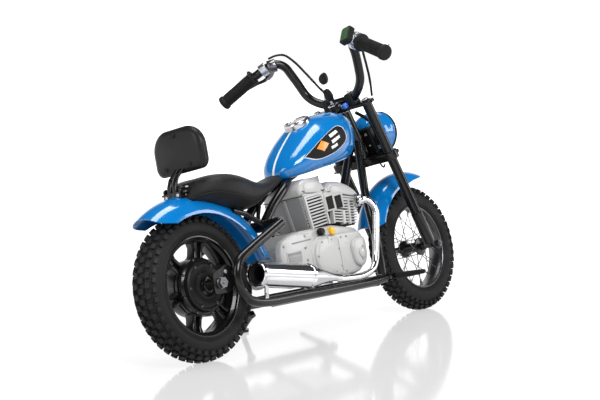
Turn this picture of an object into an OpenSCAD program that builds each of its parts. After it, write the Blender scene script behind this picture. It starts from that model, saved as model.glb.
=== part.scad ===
// Battery ride-on chopper motorcycle for a young child, parked on its side stand.
// Every sub-part is drawn upright about the symmetry plane y = 0, with the rear axle at x = 0
// and the floor under the upright tyres at z = 0. park() then leans the whole machine over to
// its left, onto the stand, and puts the middle of its footprint at the origin.
// +X is forward, +Y is the rider's left, +Z is up. Millimetres.

/* [Wheels] */
// Distance between the two axles
wheelbase = 802; // [780:1:820]
// Rear tyre outer radius
rear_r = 160; // [155:1:162]
// Rear tyre width
rear_w = 70; // [66:1:74]
// Front tyre outer radius
front_r = 162; // [158:1:164]
// Front tyre width
front_w = 60; // [56:1:62]
// Number of wire spokes in the front wheel
spoke_count = 28; // [20:4:32]

/* [Frame] */
// Sideways distance from the centre to each lower rail
rail_y = 95; // [93:1:98]
// Radius of the main frame tubes
tube_r = 10.5; // [9:0.5:11]
// Lean to the left on the side stand, degrees
park_lean = 13.7; // [13:0.1:14]

/* [Fork] */
// Steering head angle from the vertical, degrees
rake = 22.8; // [22:0.1:23.5]
// Sideways distance from the centre to each fork leg
leg_y = 79; // [77:1:81]
// Fork leg radius
leg_r = 12.5; // [11:0.5:13.5]

/* [Handlebar] */
// Handlebar tube radius
bar_r = 11; // [10:0.5:11]
// Grip radius
grip_r = 16.5; // [15:0.5:18]

/* [Seat] */
// Half width of the seat at its widest
seat_half_w = 88; // [80:1:95]
// Half width of the backrest pad
back_half_w = 76; // [70:1:80]

/* [Hidden] */
$fn = 48;
crown_rear = 40; // radius of the rounded tread across the rear tyre
crown_front = 34;
// Floor contact: both crowns touch the floor when the machine leans
sag = crown_rear * (1 - cos(park_lean));
origin_x = -402;
origin_y = -121.1;
rear_z = rear_r;
front_z = front_r - crown_front + (crown_front - sag) / cos(park_lean);
bead_r = 109; // rim lip radius: a 203 mm bead seat with its lips
front_bead_r = 108;
// Steering axis: passes axis_p and runs up along axis_u; axis_n points forward of it
axis_p = [648, 0, 460];
axis_u = [-sin(rake), 0, cos(rake)];
axis_n = [cos(rake), 0, sin(rake)];
fit = 0.05; // radial running clearance of every shaft

bar_half = [[617, 37, 553], [604, 74, 570], [594, 92, 600], [570, 107, 657], [547, 121, 679],
    [526, 146, 675]];
grip_in = [509, 175, 659];
grip_out = [476, 261, 612];
grip_len = norm(grip_out - grip_in);
loop_rear = [[505, 99], [105, 101], [58, 114], [35, 150], [46, 198], [205, 267]];
stand_piv = [262, 99, 78];
stand_y = 163;
stand_foot = [291, stand_y, (stand_y * sin(park_lean) - sag) / cos(park_lean)];
stand_dir = (stand_foot - stand_piv) / norm(stand_foot - stand_piv);
stand_fold = [-0.985, 0.17, 0]; // direction of the leg when folded
stand_axis = unit(cross(stand_dir, stand_fold));
peg_x = 568;
peg_z = 102;

function flip(p) = [p[0], -p[1], p[2]];
function along(s, n = 0, y = 0) = axis_p + axis_u * s + axis_n * n + [0, y, 0];
function unit(v) = v / norm(v);

module park() {
    translate([origin_x, origin_y, 0])
        translate([0, 0, sag]) rotate([-park_lean, 0, 0]) children();
}
// Puts the local z axis from a towards b
module aim(a, b) {
    d = b - a;
    translate(a) rotate([0, acos(d[2] / norm(d)), atan2(d[1], d[0])]) children();
}
module rod(a, b, r) {
    aim(a, b) cylinder(r = r, h = norm(b - a));
}
// A bent tube: straight runs with a slightly larger ball at each bend
module bent(points, r) {
    for (i = [0:len(points) - 2]) rod(points[i], points[i + 1], r);
    for (i = [1:1:len(points) - 2]) translate(points[i]) sphere(r = r + 0.12);
}
// Local frame of the steering head: z up the axis, x forward, at distance s from axis_p
module head(s) {
    translate(along(s)) rotate([0, -rake, 0]) children();
}
module both() {
    children();
    mirror([0, 1, 0]) children();
}
module slab(y0, y1) {
    translate([0, y1, 0]) rotate([90, 0, 0]) linear_extrude(y1 - y0) children();
}
module wheel_at(x, z) {
    translate([x, 0, z]) rotate([90, 0, 0]) children();
}
module tyre(r, w, crown, bead) {
    difference() {
        rotate_extrude($fn = 96) intersection() {
            translate([r - crown, 0]) circle(r = crown);
            translate([bead, -w / 2]) square([r - bead + 1, w]);
        }
        rotate_extrude($fn = 96) intersection() {
            translate([r - crown, 0]) circle(r = crown - 9);
            translate([bead - 1, -w / 2 + 7]) square([r - bead - 8, w - 14]);
        }
    }
}
module rim_ring(bead, w, well) {
    difference() {
        rotate_extrude($fn = 96) {
            translate([well, -w / 2]) square([bead - well - 0.3, w]);
        }
        rotate_extrude($fn = 96) translate([well + 4, -w / 2 + 4]) square([bead, w - 8]);
    }
}
// Swept tube of m sides along points, closed at both ends; it never runs parallel to ref
function ring(c, d, r, m, ref) = let (t = unit(d), a = unit(cross(t, ref)), b = cross(t, a))
    [for (k = [0:m - 1]) c + r * (a * cos(360 / m * k) + b * sin(360 / m * k))];
module swept(points, r, ref, m = 8) {
    n = len(points);
    rings = [for (i = [0:n - 1]) ring(points[i],
        points[min(i + 1, n - 1)] - points[max(i - 1, 0)], r, m, ref)];
    polyhedron([for (q = rings) for (p = q) p],
        concat([[for (k = [m - 1:-1:0]) k]], [[for (k = [0:m - 1]) (n - 1) * m + k]],
            [for (i = [0:n - 2]) for (k = [0:m - 1])
                [i * m + k, i * m + (k + 1) % m, (i + 1) * m + (k + 1) % m, (i + 1) * m + k]]));
}

// ---- Frame ----
module frame_spine() {
    color("#151517") park() difference() {
        union() {
            head(-52) cylinder(r = 18, h = 124);
            rod(along(38, -10), [470, 0, 420], 14);
            rod([470, 0, 420], [347, 0, 371], 14);
            translate([470, 0, 420]) sphere(r = 14.12);
        }
        head(-60) cylinder(r = 13, h = 150);
    }
}
module frame_downtubes() {
    color("#151517") park() difference() {
        both() {
            bent([along(-12, -14, 12), [600, 36, 322], [552, 80, 210], [543, 84, 112]], tube_r);
            bent([[346, 13, 368], [312, 30, 350], [258, 33, 312], [220, 33, 276]], tube_r);
        }
        head(-60) cylinder(r = 18.02, h = 150);
    }
}
module frame_loop(side) {
    bent([for (q = loop_rear) [q[0], side * rail_y, q[1]]], tube_r);
    slab(side * 79 - 2.5, side * 79 + 2.5) difference() {
        polygon([[-18, 146], [-18, 178], [30, 196], [44, 190], [44, 132], [30, 126]]);
        translate([0, rear_z]) circle(r = 7);
    }
}
module frame_loop_right() {
    color("#151517") park() frame_loop(-1);
}
module frame_loop_left() {
    color("#151517") park() difference() {
        union() {
            frame_loop(1);
            // Lug for the side stand, under the rail
            rod(stand_piv + stand_axis * 3.8, stand_piv + stand_axis * 17, 9);
        }
        rod(stand_piv, stand_piv + stand_axis * 13.5, 4);
    }
}
module frame_cross_tubes() {
    color("#151517") park() {
        rod([213, -rail_y + 6, 268], [213, rail_y - 6, 268], 13);
        rod([505, -rail_y - 2, 99], [505, rail_y + 2, 99], 12.5);
        rod([300, -rail_y + 8, 99], [300, rail_y - 8, 99], 9);
        // Inner rails beside the lower tubes
        both() rod([150, -76, 96], [505, -76, 94], 7.5);
        both() rod([150, -76, 96], [150, -90, 99], 7.4);
        // Footpeg brackets: a rail end and a clevis each
        both() {
            rod([505, -rail_y, 99], [546, -rail_y, 101], 9);
            difference() {
                slab(-105, -85) translate([544, 92]) square([34, 18]);
                slab(-120, -92) translate([557, 80]) square([14, 50]);
                translate([peg_x, -100, peg_z]) rotate([0, 90, 0])
                    cylinder(r = 3, h = 60, center = true);
            }
        }
        // Seat stays from the cross tube back along the fender
        both() bent([[205, -40, 272], [150, -44, 300], [112, -44, 310]], 6);
    }
}
module headset_bearings() {
    color("silver") park() for (s = [-51.5, 62]) head(s) difference() {
        cylinder(r = 12.95, h = 9.5);
        translate([0, 0, -1]) cylinder(r = 8 + fit, h = 12);
    }
}
module rear_axle() {
    color("silver") park() {
        rod([0, -86, rear_z], [0, 86, rear_z], 6.9);
        both() translate([0, -81.6, rear_z]) rotate([90, 0, 0]) difference() {
            cylinder(r = 12, h = 9, $fn = 6);
            translate([0, 0, -1]) cylinder(r = 6.95, h = 5);
        }
        both() translate([0, -76.4, rear_z]) rotate([-90, 0, 0]) difference() {
            cylinder(r = 11, h = 10);
            translate([0, 0, -1]) cylinder(r = 6.95, h = 12);
        }
    }
}
module frame_bolts() {
    color("silver") park() {
        both() translate([peg_x - 20, -105.05, 101]) rotate([90, 0, 0]) cylinder(r = 3.5, h = 3);
        both() translate([16, -81.6, 182]) rotate([90, 0, 0]) cylinder(r = 4, h = 3);
        both() translate([-2, -34, 372.05]) cylinder(r = 4, h = 3);
    }
}

// ---- Seat and backrest ----
module fender_room(r, w) {
    translate([10, 0, 127]) rotate([90, 0, 0]) cylinder(r = r, h = w, center = true, $fn = 96);
}
module seat_pan() {
    color("#1c1c1e") park() difference() {
        slab(-36, 36) polygon([[-12, 362], [20, 362], [90, 350], [150, 336], [215, 330], [300, 352],
            [305, 358], [300, 358], [215, 335], [150, 341], [90, 355], [20, 366], [-12, 366]]);
        both() translate([255, 17, 300]) cube([80, 40, 80]);
    }
}
module seat_cushion() {
    color("#202022") park() difference() {
        hull_pair();
        fender_room(230, 130);
        slab(-40, 40) polygon([[-40, 300], [-40, 366.3], [20, 366.3], [90, 355.3], [150, 341.3],
            [215, 335.3], [300, 358.3], [330, 358.3], [330, 300]]);
        translate([-60, -41, 300]) cube([76.5, 82, 84]);
        slab(-13.6, 13.6) polygon([[0, 366], [18.5, 366], [40, 410], [0, 410]]);
    }
}
module hull_pair() {
    hull() {
        for (side = [-1, 1]) {
            translate([45, side * (seat_half_w - 34), 362]) scale([1.1, 1, 0.72]) sphere(34, $fn = 28);
            translate([110, side * (seat_half_w - 34), 356]) scale([1.3, 1, 0.9]) sphere(34, $fn = 28);
            translate([40, side * 30, 376]) scale([1, 1, 0.5]) sphere(24, $fn = 24);
        }
        translate([205, 0, 348]) scale([1, 1.7, 0.8]) sphere(30, $fn = 28);
    }
    hull() {
        translate([205, 0, 346]) scale([1, 1.9, 0.85]) sphere(30, $fn = 28);
        translate([284, 0, 362]) scale([1, 1.5, 0.62]) sphere(26, $fn = 28);
    }
}
module backrest_post() {
    color("#151517") park() {
        slab(-13, 13) polygon([[8, 372], [16, 372], [34, 408], [32, 500], [26, 500], [26, 410]]);
        difference() {
            slab(-40, 40) polygon([[-16, 366.4], [16, 366.4], [16, 372], [-16, 372]]);
            both() translate([-2, -34, 360]) cylinder(r = 2.6, h = 20);
        }
    }
}
module back_outline(grow) {
    hull() {
        for (side = [-1, 1]) {
            translate([side * (back_half_w - 44), 458]) circle(r = 46 + grow);
            translate([side * (back_half_w - 22), 428]) circle(r = 22 + grow);
        }
    }
}
module back_slice(x, thick, grow) {
    translate([x, 0, 0]) rotate([90, 0, 90]) linear_extrude(thick) back_outline(grow);
}
module backrest_shell() {
    color("#101012") park() difference() {
        back_slice(14, 12, 0);
        slab(-14, 14) polygon([[8, 360], [26.5, 400], [25.8, 410], [25.8, 520], [60, 520], [60, 360]]);
        slab(-80, 80) polygon([[25.9, 300], [60, 300], [60, 560], [25.9, 560]]);
        translate([20, -13.3, 380]) cube([10, 26.6, 124]);
        for (q = [[0, 489], [-37, 420], [37, 420]]) translate([0, q[0], q[1]])
            rotate([0, 90, 0]) cylinder(r = 3.5, h = 21);
    }
}
module backrest_pad() {
    color("#1d1d1f") park() difference() {
        hull() {
            back_slice(26.2, 14, 1);
            back_slice(40, 12, -9);
        }
        slab(-14, 14) polygon([[20, 360], [35, 360], [34.6, 408], [32.6, 500.5], [20, 500.5]]);
    }
}
module rear_fender() {
    color("#0a7cd6") park() difference() {
        translate([10, 0, 127]) rotate([90, 0, 0]) rotate([0, 0, 17])
            rotate_extrude(angle = 107, $fn = 96) intersection() {
                difference() {
                    translate([179, 0]) scale([1, 1]) circle(r = 52);
                    translate([179, 0]) circle(r = 49);
                }
                translate([186, -60]) square([60, 120]);
            }
        both() rod([205, -40, 272], [150, -44, 300], 7.5);
        both() rod([160, -43.3, 295], [106, -44, 311.5], 8);
    }
}

// ---- Tank ----
module tank_form(grow) {
    hull() {
        translate([330, 0, 400]) scale([0.9, 1.7, 0.85]) sphere(26 + grow, $fn = 36);
        for (side = [-1, 1]) {
            translate([425, side * 34, 430]) scale([1.1, 1, 1.05]) sphere(48 + grow, $fn = 36);
            translate([520, side * 30, 455]) scale([1, 1, 1.15]) sphere(52 + grow, $fn = 36);
        }
        translate([575, 0, 468]) scale([0.8, 1.2, 1.2]) sphere(38 + grow, $fn = 36);
    }
}
module fuel_tank() {
    color("#0a7cd6") park() difference() {
        tank_form(0);
        // Tunnel over the frame's backbone
        hull() {
            for (z = [300, 421]) translate([470, 0, z]) rotate([0, 90, 0])
                cylinder(r = 15.5, h = 0.1, $fn = 32);
            for (z = [350, 499]) translate([640, 0, z]) rotate([0, 90, 0])
                cylinder(r = 17, h = 0.1, $fn = 32);
        }
        hull() {
            for (z = [300, 421]) translate([472, 0, z]) rotate([0, 90, 0])
                cylinder(r = 15.5, h = 0.1, $fn = 32);
            for (z = [300, 364]) translate([290, 0, z]) rotate([0, 90, 0])
                cylinder(r = 15.5, h = 0.1, $fn = 32);
        }
        both() rod([352, -6, 371], [312, -30, 350], 14);
        slab(-40, 40) translate([240, 350]) square([90, 34]);
    }
}
module tank_cap() {
    color("silver") park() translate([434, 0, 497]) rotate([0, -22, 0]) {
        cylinder(r = 30, h = 8);
        translate([0, 0, 7.9]) cylinder(r = 24, h = 5);
    }
}

// ---- Engine-shaped battery housing ----
module crankcase() {
    color("#d6d6d4") park() difference() {
        union() {
            slab(-62, 62) polygon([[262, 186], [268, 216], [300, 242], [420, 246], [505, 232],
                [522, 200], [512, 146], [486, 128], [370, 118], [292, 130], [262, 150]]);
            both() slab(-72, -60) polygon([[208, 190], [216, 222], [262, 238], [330, 236],
                [330, 150], [262, 128], [220, 148]]);
        }
        slab(-56, 56) polygon([[272, 186], [278, 212], [302, 234], [415, 238], [488, 225],
            [508, 198], [500, 152], [480, 138], [370, 128], [300, 140], [272, 156]]);
    }
}
module fins(x0, x1, z0, z1, lean, half_w, count) {
    pitch = (z1 - z0) / count;
    translate([(x0 + x1) / 2, 0, z0]) rotate([0, lean, 0]) {
        for (i = [0:count - 1]) translate([-(x1 - x0) / 2, -half_w, i * pitch])
            cube([x1 - x0, half_w * 2, pitch * 0.5]);
        translate([-(x1 - x0) / 2 + 6, -half_w + 6, 0])
            cube([x1 - x0 - 12, half_w * 2 - 12, z1 - z0]);
    }
}
module rear_cylinder() {
    color("#9a9a9c") park() difference() {
        fins(340, 412, 249, 322, -7, 62, 8);
        translate([250, -80, 200]) cube([200, 160, 46.2]);
    }
}
module front_cylinder() {
    color("#d6d6d4") park() difference() {
        fins(424, 530, 249, 303, 7, 62, 6);
        translate([380, -80, 200]) cube([200, 160, 46.2]);
        translate([350, -80, 200]) cube([68, 160, 160]);
    }
}
module rocker_covers() {
    color("#d6d6d4") park() difference() {
        union() {
            slab(-60, 60) polygon([[327, 325], [327, 350], [345, 363], [388, 362], [408, 346],
                [410, 327]]);
            slab(-60, 60) polygon([[424, 319], [426, 338], [442, 350], [500, 342], [538, 322],
                [546, 308], [538, 302]]);
        }
        both() rod([346, -13, 368], [312, -30, 350], tube_r + 1.5);
        translate([320, -17, 351]) cube([75, 34, 30]);
    }
}
module primary_cover() {
    color("#d6d6d4") park() both() difference() {
        union() {
            translate([362, -62, 180]) rotate([90, 0, 0]) cylinder(r = 48, h = 18);
            slab(-76, -62) polygon([[340, 148], [345, 222], [500, 224], [512, 196], [498, 148],
                [478, 130], [372, 124]]);
            translate([478, -62, 172]) rotate([90, 0, 0]) cylinder(r = 24, h = 20);
        }
        slab(-90, -61.9) translate([200, 100]) square([130.5, 150]);
    }
}
module oil_cap() {
    color("#f5c21a") park() translate([396, -70, 240]) rotate([90, 0, 0]) cylinder(r = 8, h = 14);
}
module charge_socket() {
    color("#151517") park() translate([370, -68, 238.5]) rotate([90, 0, 0]) {
        cylinder(r = 6.5, h = 12);
        translate([0, 0, 11.9]) cylinder(r = 8, h = 3);
    }
}
module battery_pack() {
    color("#2d4f8f") park() translate([300, -48, 142]) cube([180, 96, 82]);
}
module motor_controller() {
    color("#8c8c90") park() translate([440, -30, 352]) cube([70, 60, 18]);
}
module exhaust_pipe() {
    color("silver") park() bent([[520, -72, 296], [541, -94, 293], [541, -102, 255], [508, -102, 153],
        [482, -102, 124], [440, -102, 118], [345, -103, 122.5]], 7.8);
}
module muffler() {
    color("silver") park() {
        aim([345, -103, 123], [248, -105, 141]) cylinder(r1 = 8.5, r2 = 26,
            h = norm([97, 2, 18]));
        aim([252, -105, 140.2], [84, -105, 165.4]) difference() {
            union() {
                cylinder(r = 26.5, h = norm([168, 0, 25.2]));
                cylinder(r = 28, h = 6);
            }
            translate([0, 0, norm([168, 0, 25.2]) - 40]) cylinder(r = 17, h = 50);
        }
        // Bracket down to the rail
        slab(-106.5, -103.5) polygon([[96, 112], [106, 112], [114, 142], [104, 142]]);
    }
}
module brake_cable_rear() {
    color("#202022") park() swept([[556, 10, 378], [560, 22, 352], [563, 38, 328], [561, 56, 300],
        [549, 69, 262], [534, 77, 210], [524, 78, 160], [512, 79, 128], [488, 80, 114],
        [440, 82, 111.5], [330, 82.5, 112], [220, 81, 112], [120, 79, 113], [92, 72, 122], [66, 62, 140],
        [54, 56, 160], [50, 52, 178]], 2.5, [0, 1, 0]);
}

// ---- Rear wheel ----
module rear_tyre() {
    color("#1a1a1b") park() wheel_at(0, rear_z) tyre(rear_r, rear_w, crown_rear, bead_r);
}
module rear_rim() {
    color("#101012") park() wheel_at(0, rear_z) {
        rim_ring(bead_r, 60, 94);
        difference() {
            union() {
                for (k = [0:5]) rotate([0, 0, 60 * k + 15]) translate([50, -13, -15])
                    cube([47, 26, 30]);
            }
            cylinder(r = 62.05, h = 80, center = true);
        }
    }
}
module hub_motor() {
    color("#18181a") park() wheel_at(0, rear_z) difference() {
        union() {
            cylinder(r = 62, h = 56, center = true);
            cylinder(r = 30, h = 92, center = true);
        }
        cylinder(r = 6.9 + fit, h = 120, center = true);
        translate([0, 0, 27.9]) difference() {
            cylinder(r = 58, h = 10);
            cylinder(r = 30, h = 30, center = true);
        }
    }
}
module hub_cover() {
    color("#101012") park() wheel_at(0, rear_z) {
        translate([0, 0, 28]) difference() {
            cylinder(r = 55, h = 11);
            translate([0, 0, -1]) cylinder(r = 30.2, h = 20);
        }
        for (k = [0:5]) rotate([0, 0, 60 * k]) translate([46, 0, 38.9]) cylinder(r = 3.5, h = 2.5);
    }
}

// ---- Front wheel ----
module front_tyre() {
    color("#1a1a1b") park() wheel_at(wheelbase, front_z)
        tyre(front_r, front_w, crown_front, front_bead_r);
}
module front_rim() {
    color("silver") park() wheel_at(wheelbase, front_z) rim_ring(front_bead_r, 44, 98);
}
module front_spokes() {
    color("silver") park() wheel_at(wheelbase, front_z) for (k = [0:spoke_count - 1]) {
        side = k % 2 == 0 ? 1 : -1;
        a = 360 * k / spoke_count;
        twist = side * 38;
        rod([19 * cos(a + twist), 19 * sin(a + twist), side * 25],
            [98.4 * cos(a), 98.4 * sin(a), side * 7], 1.1);
    }
}
module front_hub() {
    color("silver") park() wheel_at(wheelbase, front_z) difference() {
        union() {
            cylinder(r = 13, h = 60, center = true);
            for (s = [-1, 1]) translate([0, 0, s * 25]) cylinder(r = 23, h = 4, center = true);
        }
        cylinder(r = 5 + fit, h = 80, center = true);
    }
}

// ---- Steering ----
module steering_stem() {
    color("silver") park() head(-66) cylinder(r = 8, h = 150);
}
module clamp_plate(depth, thick) {
    difference() {
        union() {
            translate([-15, -leg_y, 0]) cube([33, leg_y * 2, thick]);
            for (side = [-1, 1]) translate([0, side * leg_y, 0]) cylinder(r = leg_r + 6.5, h = thick);
            cylinder(r = depth, h = thick);
        }
        for (side = [-1, 1]) translate([0, side * leg_y, -1])
            cylinder(r = leg_r + 0.02, h = thick + 2);
    }
}
module upper_clamp() {
    color("#2a2a2c") park() head(78) difference() {
        clamp_plate(24, 7);
        translate([0, 0, -1]) cylinder(r = 8.02, h = 20);
        for (side = [-1, 1]) translate([-6, side * 37, -1]) cylinder(r = 4, h = 20);
    }
}
module lower_clamp() {
    color("#151517") park() head(-76) difference() {
        union() {
            clamp_plate(20, 20);
            translate([17, -40, 4]) cube([12, 80, 12]);
        }
        translate([0, 0, 10]) cylinder(r = 8.02, h = 20);
    }
}
module fork_leg() {
    rod(along(-300, 0, -leg_y), along(86, 0, -leg_y), leg_r);
    rod(along(-318, 0, -leg_y), along(-230, 0, -leg_y), leg_r + 2);
    rod(along(86, 0, -leg_y), along(89, 0, -leg_y), 9);
    // Dropout plate carrying the axle ahead of the leg
    difference() {
        slab(-leg_y - 4, -leg_y + 4) polygon([[752, 200], [774, 210], [818, 172], [816, 152],
            [798, 146], [762, 164]]);
        translate([wheelbase, 0, front_z]) rotate([90, 0, 0]) cylinder(r = 5.02, h = 200);
    }
}
module fork_leg_right() {
    color("#151517") park() fork_leg();
}
module fork_leg_left() {
    color("#151517") park() mirror([0, 1, 0]) fork_leg();
}
module front_axle() {
    color("silver") park() {
        rod([wheelbase, -90, front_z], [wheelbase, 90, front_z], 5);
        both() translate([wheelbase, -leg_y - 4.1, front_z]) rotate([90, 0, 0])
            cylinder(r = 9, h = 7, $fn = 6);
        both() rod([wheelbase, -leg_y + 4.1, front_z], [wheelbase, -31, front_z], 8);
    }
}
module handlebar() {
    color("#151517") park() {
        both() bent([[617, 0, 553], bar_half[0], bar_half[1], bar_half[2], bar_half[3], bar_half[4],
            bar_half[5], grip_in, grip_out], bar_r);
    }
}
module bar_clamps() {
    color("silver") park() for (side = [-1, 1]) difference() {
        union() {
            head(85.02) translate([7, side * 24, 0]) cylinder(r = 8, h = 14);
            rod([617, side * 17, 553], [617, side * 31, 553], 15.5);
        }
        rod([617, -60, 553], [617, 60, 553], bar_r + 0.02);
        head(54) translate([-60, -60, 0]) cube([120, 120, 31.02]);
    }
}
module grip_body(inner) {
    difference() {
        union() {
            translate([0, 0, 1.8]) cylinder(r = grip_r - 1, h = grip_len - 5.8);
            translate([0, 0, 1.8]) cylinder(r = grip_r + 3, h = 5);
            translate([0, 0, grip_len - 6]) cylinder(r = grip_r + 1, h = 8.5);
        }
        translate([0, 0, -1]) cylinder(r = inner, h = grip_len + 1.5);
    }
}
module left_grip() {
    color("#1a1a1b") park() aim(grip_in, grip_out) grip_body(bar_r + 0.02);
}
module throttle_grip() {
    color("#1a1a1b") park() aim(flip(grip_in), flip(grip_out)) grip_body(bar_r + fit);
}
module bar_collar(s0, s1, r) {
    a = flip(grip_in);
    d = unit(flip(grip_in) - flip(grip_out));
    difference() {
        rod(a + d * s0, a + d * s1, r);
        rod(a - d * 5, a + d * 60, bar_r + 0.02);
    }
}
module throttle_housing() {
    color("silver") park() difference() {
        union() {
            bar_collar(0.6, 13, 22);
            rod([499, -166, 668], [478, -158, 700], 15);
        }
        rod(flip(grip_in), flip(bar_half[5]), bar_r + 0.3);
        rod(flip(grip_in), flip(grip_out), 23);
        translate(flip(grip_in)) sphere(r = bar_r + 0.4);
    }
}
module perch(side) {
    // Clamp ring on the bar with two ears that hold the lever's pivot
    difference() {
        union() {
            rod([542, side * 127, 678], [532, side * 139, 676.1], 16);
            hull() {
                translate([546, side * 163, 656]) cylinder(r = 9, h = 14, center = true);
                translate([538, side * 137, 660]) cylinder(r = 8, h = 14, center = true);
            }
        }
        rod([bar_half[4][0], side * bar_half[4][1], bar_half[4][2]],
            [bar_half[5][0], side * bar_half[5][1], bar_half[5][2]], bar_r + 0.02);
        rod([bar_half[5][0], side * bar_half[5][1], bar_half[5][2]],
            [grip_in[0], side * grip_in[1], grip_in[2]], bar_r + 0.35);
        translate([bar_half[5][0], side * bar_half[5][1], bar_half[5][2]]) sphere(r = bar_r + 0.5);
        translate([552, side * 174, 656]) cube([44, 44, 6.4], center = true);
        translate([546, side * 163, 656]) cylinder(r = 3, h = 60, center = true);
    }
}
module lever_perches() {
    color("silver") park() {
        perch(-1);
        perch(1);
    }
}
module lever(side) {
    translate([546, side * 163, 653.2]) cylinder(r = 8, h = 5.6);
    translate([546, side * 163, 648.5]) cylinder(r = 3 - fit, h = 15);
    difference() {
        rod([546, side * 163, 656], [524, side * 238, 622], 5);
        translate([546, side * 163, 656]) cube([22, 22, 30], center = true);
    }
    rod([549, side * 168, 656], [542, side * 178, 654], 2.2);
    translate([524, side * 238, 622]) sphere(r = 7.5);
}
module brake_lever_right() {
    color("silver") park() lever(-1);
}
module brake_lever_left() {
    color("#151517") park() lever(1);
}
module ignition_switch() {
    color("#151517") park() head(85.02) translate([-26, 0, 0]) difference() {
        union() {
            cylinder(r = 12, h = 20);
            cylinder(r = 14, h = 5);
        }
        translate([0, 0, 10]) cylinder(r = 5, h = 20);
    }
}
module ignition_key() {
    color("#202022") park() head(95.1) translate([-26, 0, 0]) {
        cylinder(r = 4.9, h = 9);
        translate([-1, -4, 8]) cube([2, 8, 14]);
        difference() {
            translate([0, 0, 36]) scale([1, 1, 1]) rotate([0, 90, 0])
                cylinder(r = 16, h = 7, center = true);
            translate([0, 0, 47]) rotate([0, 90, 0]) cylinder(r = 2.5, h = 20, center = true);
        }
        // Ring and spare key, tied to the first key
        translate([0, 0, 56]) rotate([0, 90, 0]) rotate_extrude() translate([10.4, 0]) circle(r = 0.9);
        translate([0, -9, 78]) rotate([0, 90, 0]) cylinder(r = 14, h = 6, center = true);
    }
}
// A bowl with a hole for the wires at its back
module headlight_bucket() {
    color("#0a7cd6") park() translate([722, 0, 468]) rotate([0, 90, 0]) rotate_extrude()
        polygon(concat([for (a = [-84:7:0]) 53 * [cos(a), sin(a)]], [[53, 26], [49, 26]],
            [for (a = [0:-7:-84]) 49 * [cos(a), sin(a)]]));
}
module headlight_lens() {
    color("#dfe8ee") park() {
        translate([748.1, 0, 468]) rotate([0, 90, 0]) difference() {
            cylinder(r = 56, h = 9);
            translate([0, 0, -1]) cylinder(r = 47, h = 4);
        }
        translate([733, 0, 468]) rotate([0, 90, 0]) cylinder(r = 46.6, h = 18);
    }
}
module headlight_bracket() {
    color("#151517") park() head(0) {
        both() slab(-57.5, -54) polygon([[8, -55.9], [44, -55.9], [82, -30], [80, -14], [62, -10],
            [22, -30]]);
        translate([19.2, -57.5, -55.9]) cube([5.5, 115, 4]);
    }
}
module front_fender() {
    color("#0a7cd6") park() translate([wheelbase, 0, front_z]) rotate([90, 0, 0])
        rotate([0, 0, 70]) rotate_extrude(angle = 90, $fn = 96) intersection() {
            difference() {
                translate([157, 0]) circle(r = 44);
                translate([157, 0]) circle(r = 41);
            }
            translate([167, -50]) square([60, 100]);
        }
}
module bar_cables() {
    color("#202022") park() {
        swept([[535, 139, 698], [550, 127, 703], [566, 112, 701], [582, 96, 680], [598, 78, 645],
            [612, 58, 606], [617, 44, 584], [614, 36, 573]], 3.2, [1, 0, 0]);
        swept([[552, -146, 662], [572, -132, 650], [590, -124, 625], [604, -114, 598],
            [616, -107, 574], [626, -103, 552]], 3, [1, 0, 0]);
    }
}

// ---- Stand and pegs ----
module side_stand() {
    color("#151517") park() {
        rod(stand_piv - stand_axis * 4, stand_foot + [0, 0, 4] - stand_dir * 7, 6.5);
        rod(stand_piv - stand_axis * 9, stand_piv + stand_axis * 2.6, 9);
        rod(stand_piv, stand_piv + stand_axis * 12.5, 4 - fit * 2);
        // Foot pad, flat on the floor when parked
        translate(stand_foot) rotate([park_lean, 0, 0]) cylinder(r = 15, h = 7);
    }
}
module footpeg() {
    translate([peg_x, -100, peg_z]) rotate([0, 90, 0]) cylinder(r = 2.95, h = 33, center = true);
    rod([peg_x - 4, -96.5, peg_z], [peg_x - 4, -118, peg_z], 6);
    aim([peg_x - 4, -114, peg_z], [peg_x - 6, -197, peg_z]) cylinder(r1 = 8.5, r2 = 5, h = 83);
}
module footpeg_right() {
    color("#1a1a1b") park() footpeg();
}
module footpeg_left() {
    color("#1a1a1b") park() mirror([0, 1, 0]) footpeg();
}

frame_spine();
frame_downtubes();
frame_loop_right();
frame_loop_left();
frame_cross_tubes();
headset_bearings();
seat_pan();
seat_cushion();
backrest_post();
backrest_shell();
backrest_pad();
rear_fender();
fuel_tank();
tank_cap();
crankcase();
rear_cylinder();
front_cylinder();
rocker_covers();
primary_cover();
oil_cap();
charge_socket();
battery_pack();
motor_controller();
exhaust_pipe();
muffler();
rear_axle();
frame_bolts();
brake_cable_rear();
rear_tyre();
rear_rim();
hub_motor();
hub_cover();
front_tyre();
front_rim();
front_spokes();
front_hub();
steering_stem();
upper_clamp();
lower_clamp();
fork_leg_right();
fork_leg_left();
front_axle();
handlebar();
bar_clamps();
left_grip();
headlight_bucket();
headlight_lens();
headlight_bracket();
front_fender();
throttle_housing();
lever_perches();
ignition_switch();
bar_cables();
throttle_grip();
brake_lever_left();
brake_lever_right();
ignition_key();
side_stand();
footpeg_right();
footpeg_left();
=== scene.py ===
"""Looks of the ride-on chopper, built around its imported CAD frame.

Pieces are drawn in the bike's own upright frame, in millimetres: x forward from the rear axle, y to the
left, z up from the floor. PARKED then leans them over onto the side stand, as the CAD does.
"""
import math

import bmesh
import bpy
import numpy as np
from mathutils import Matrix, Vector
from mathutils.bvhtree import BVHTree


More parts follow.
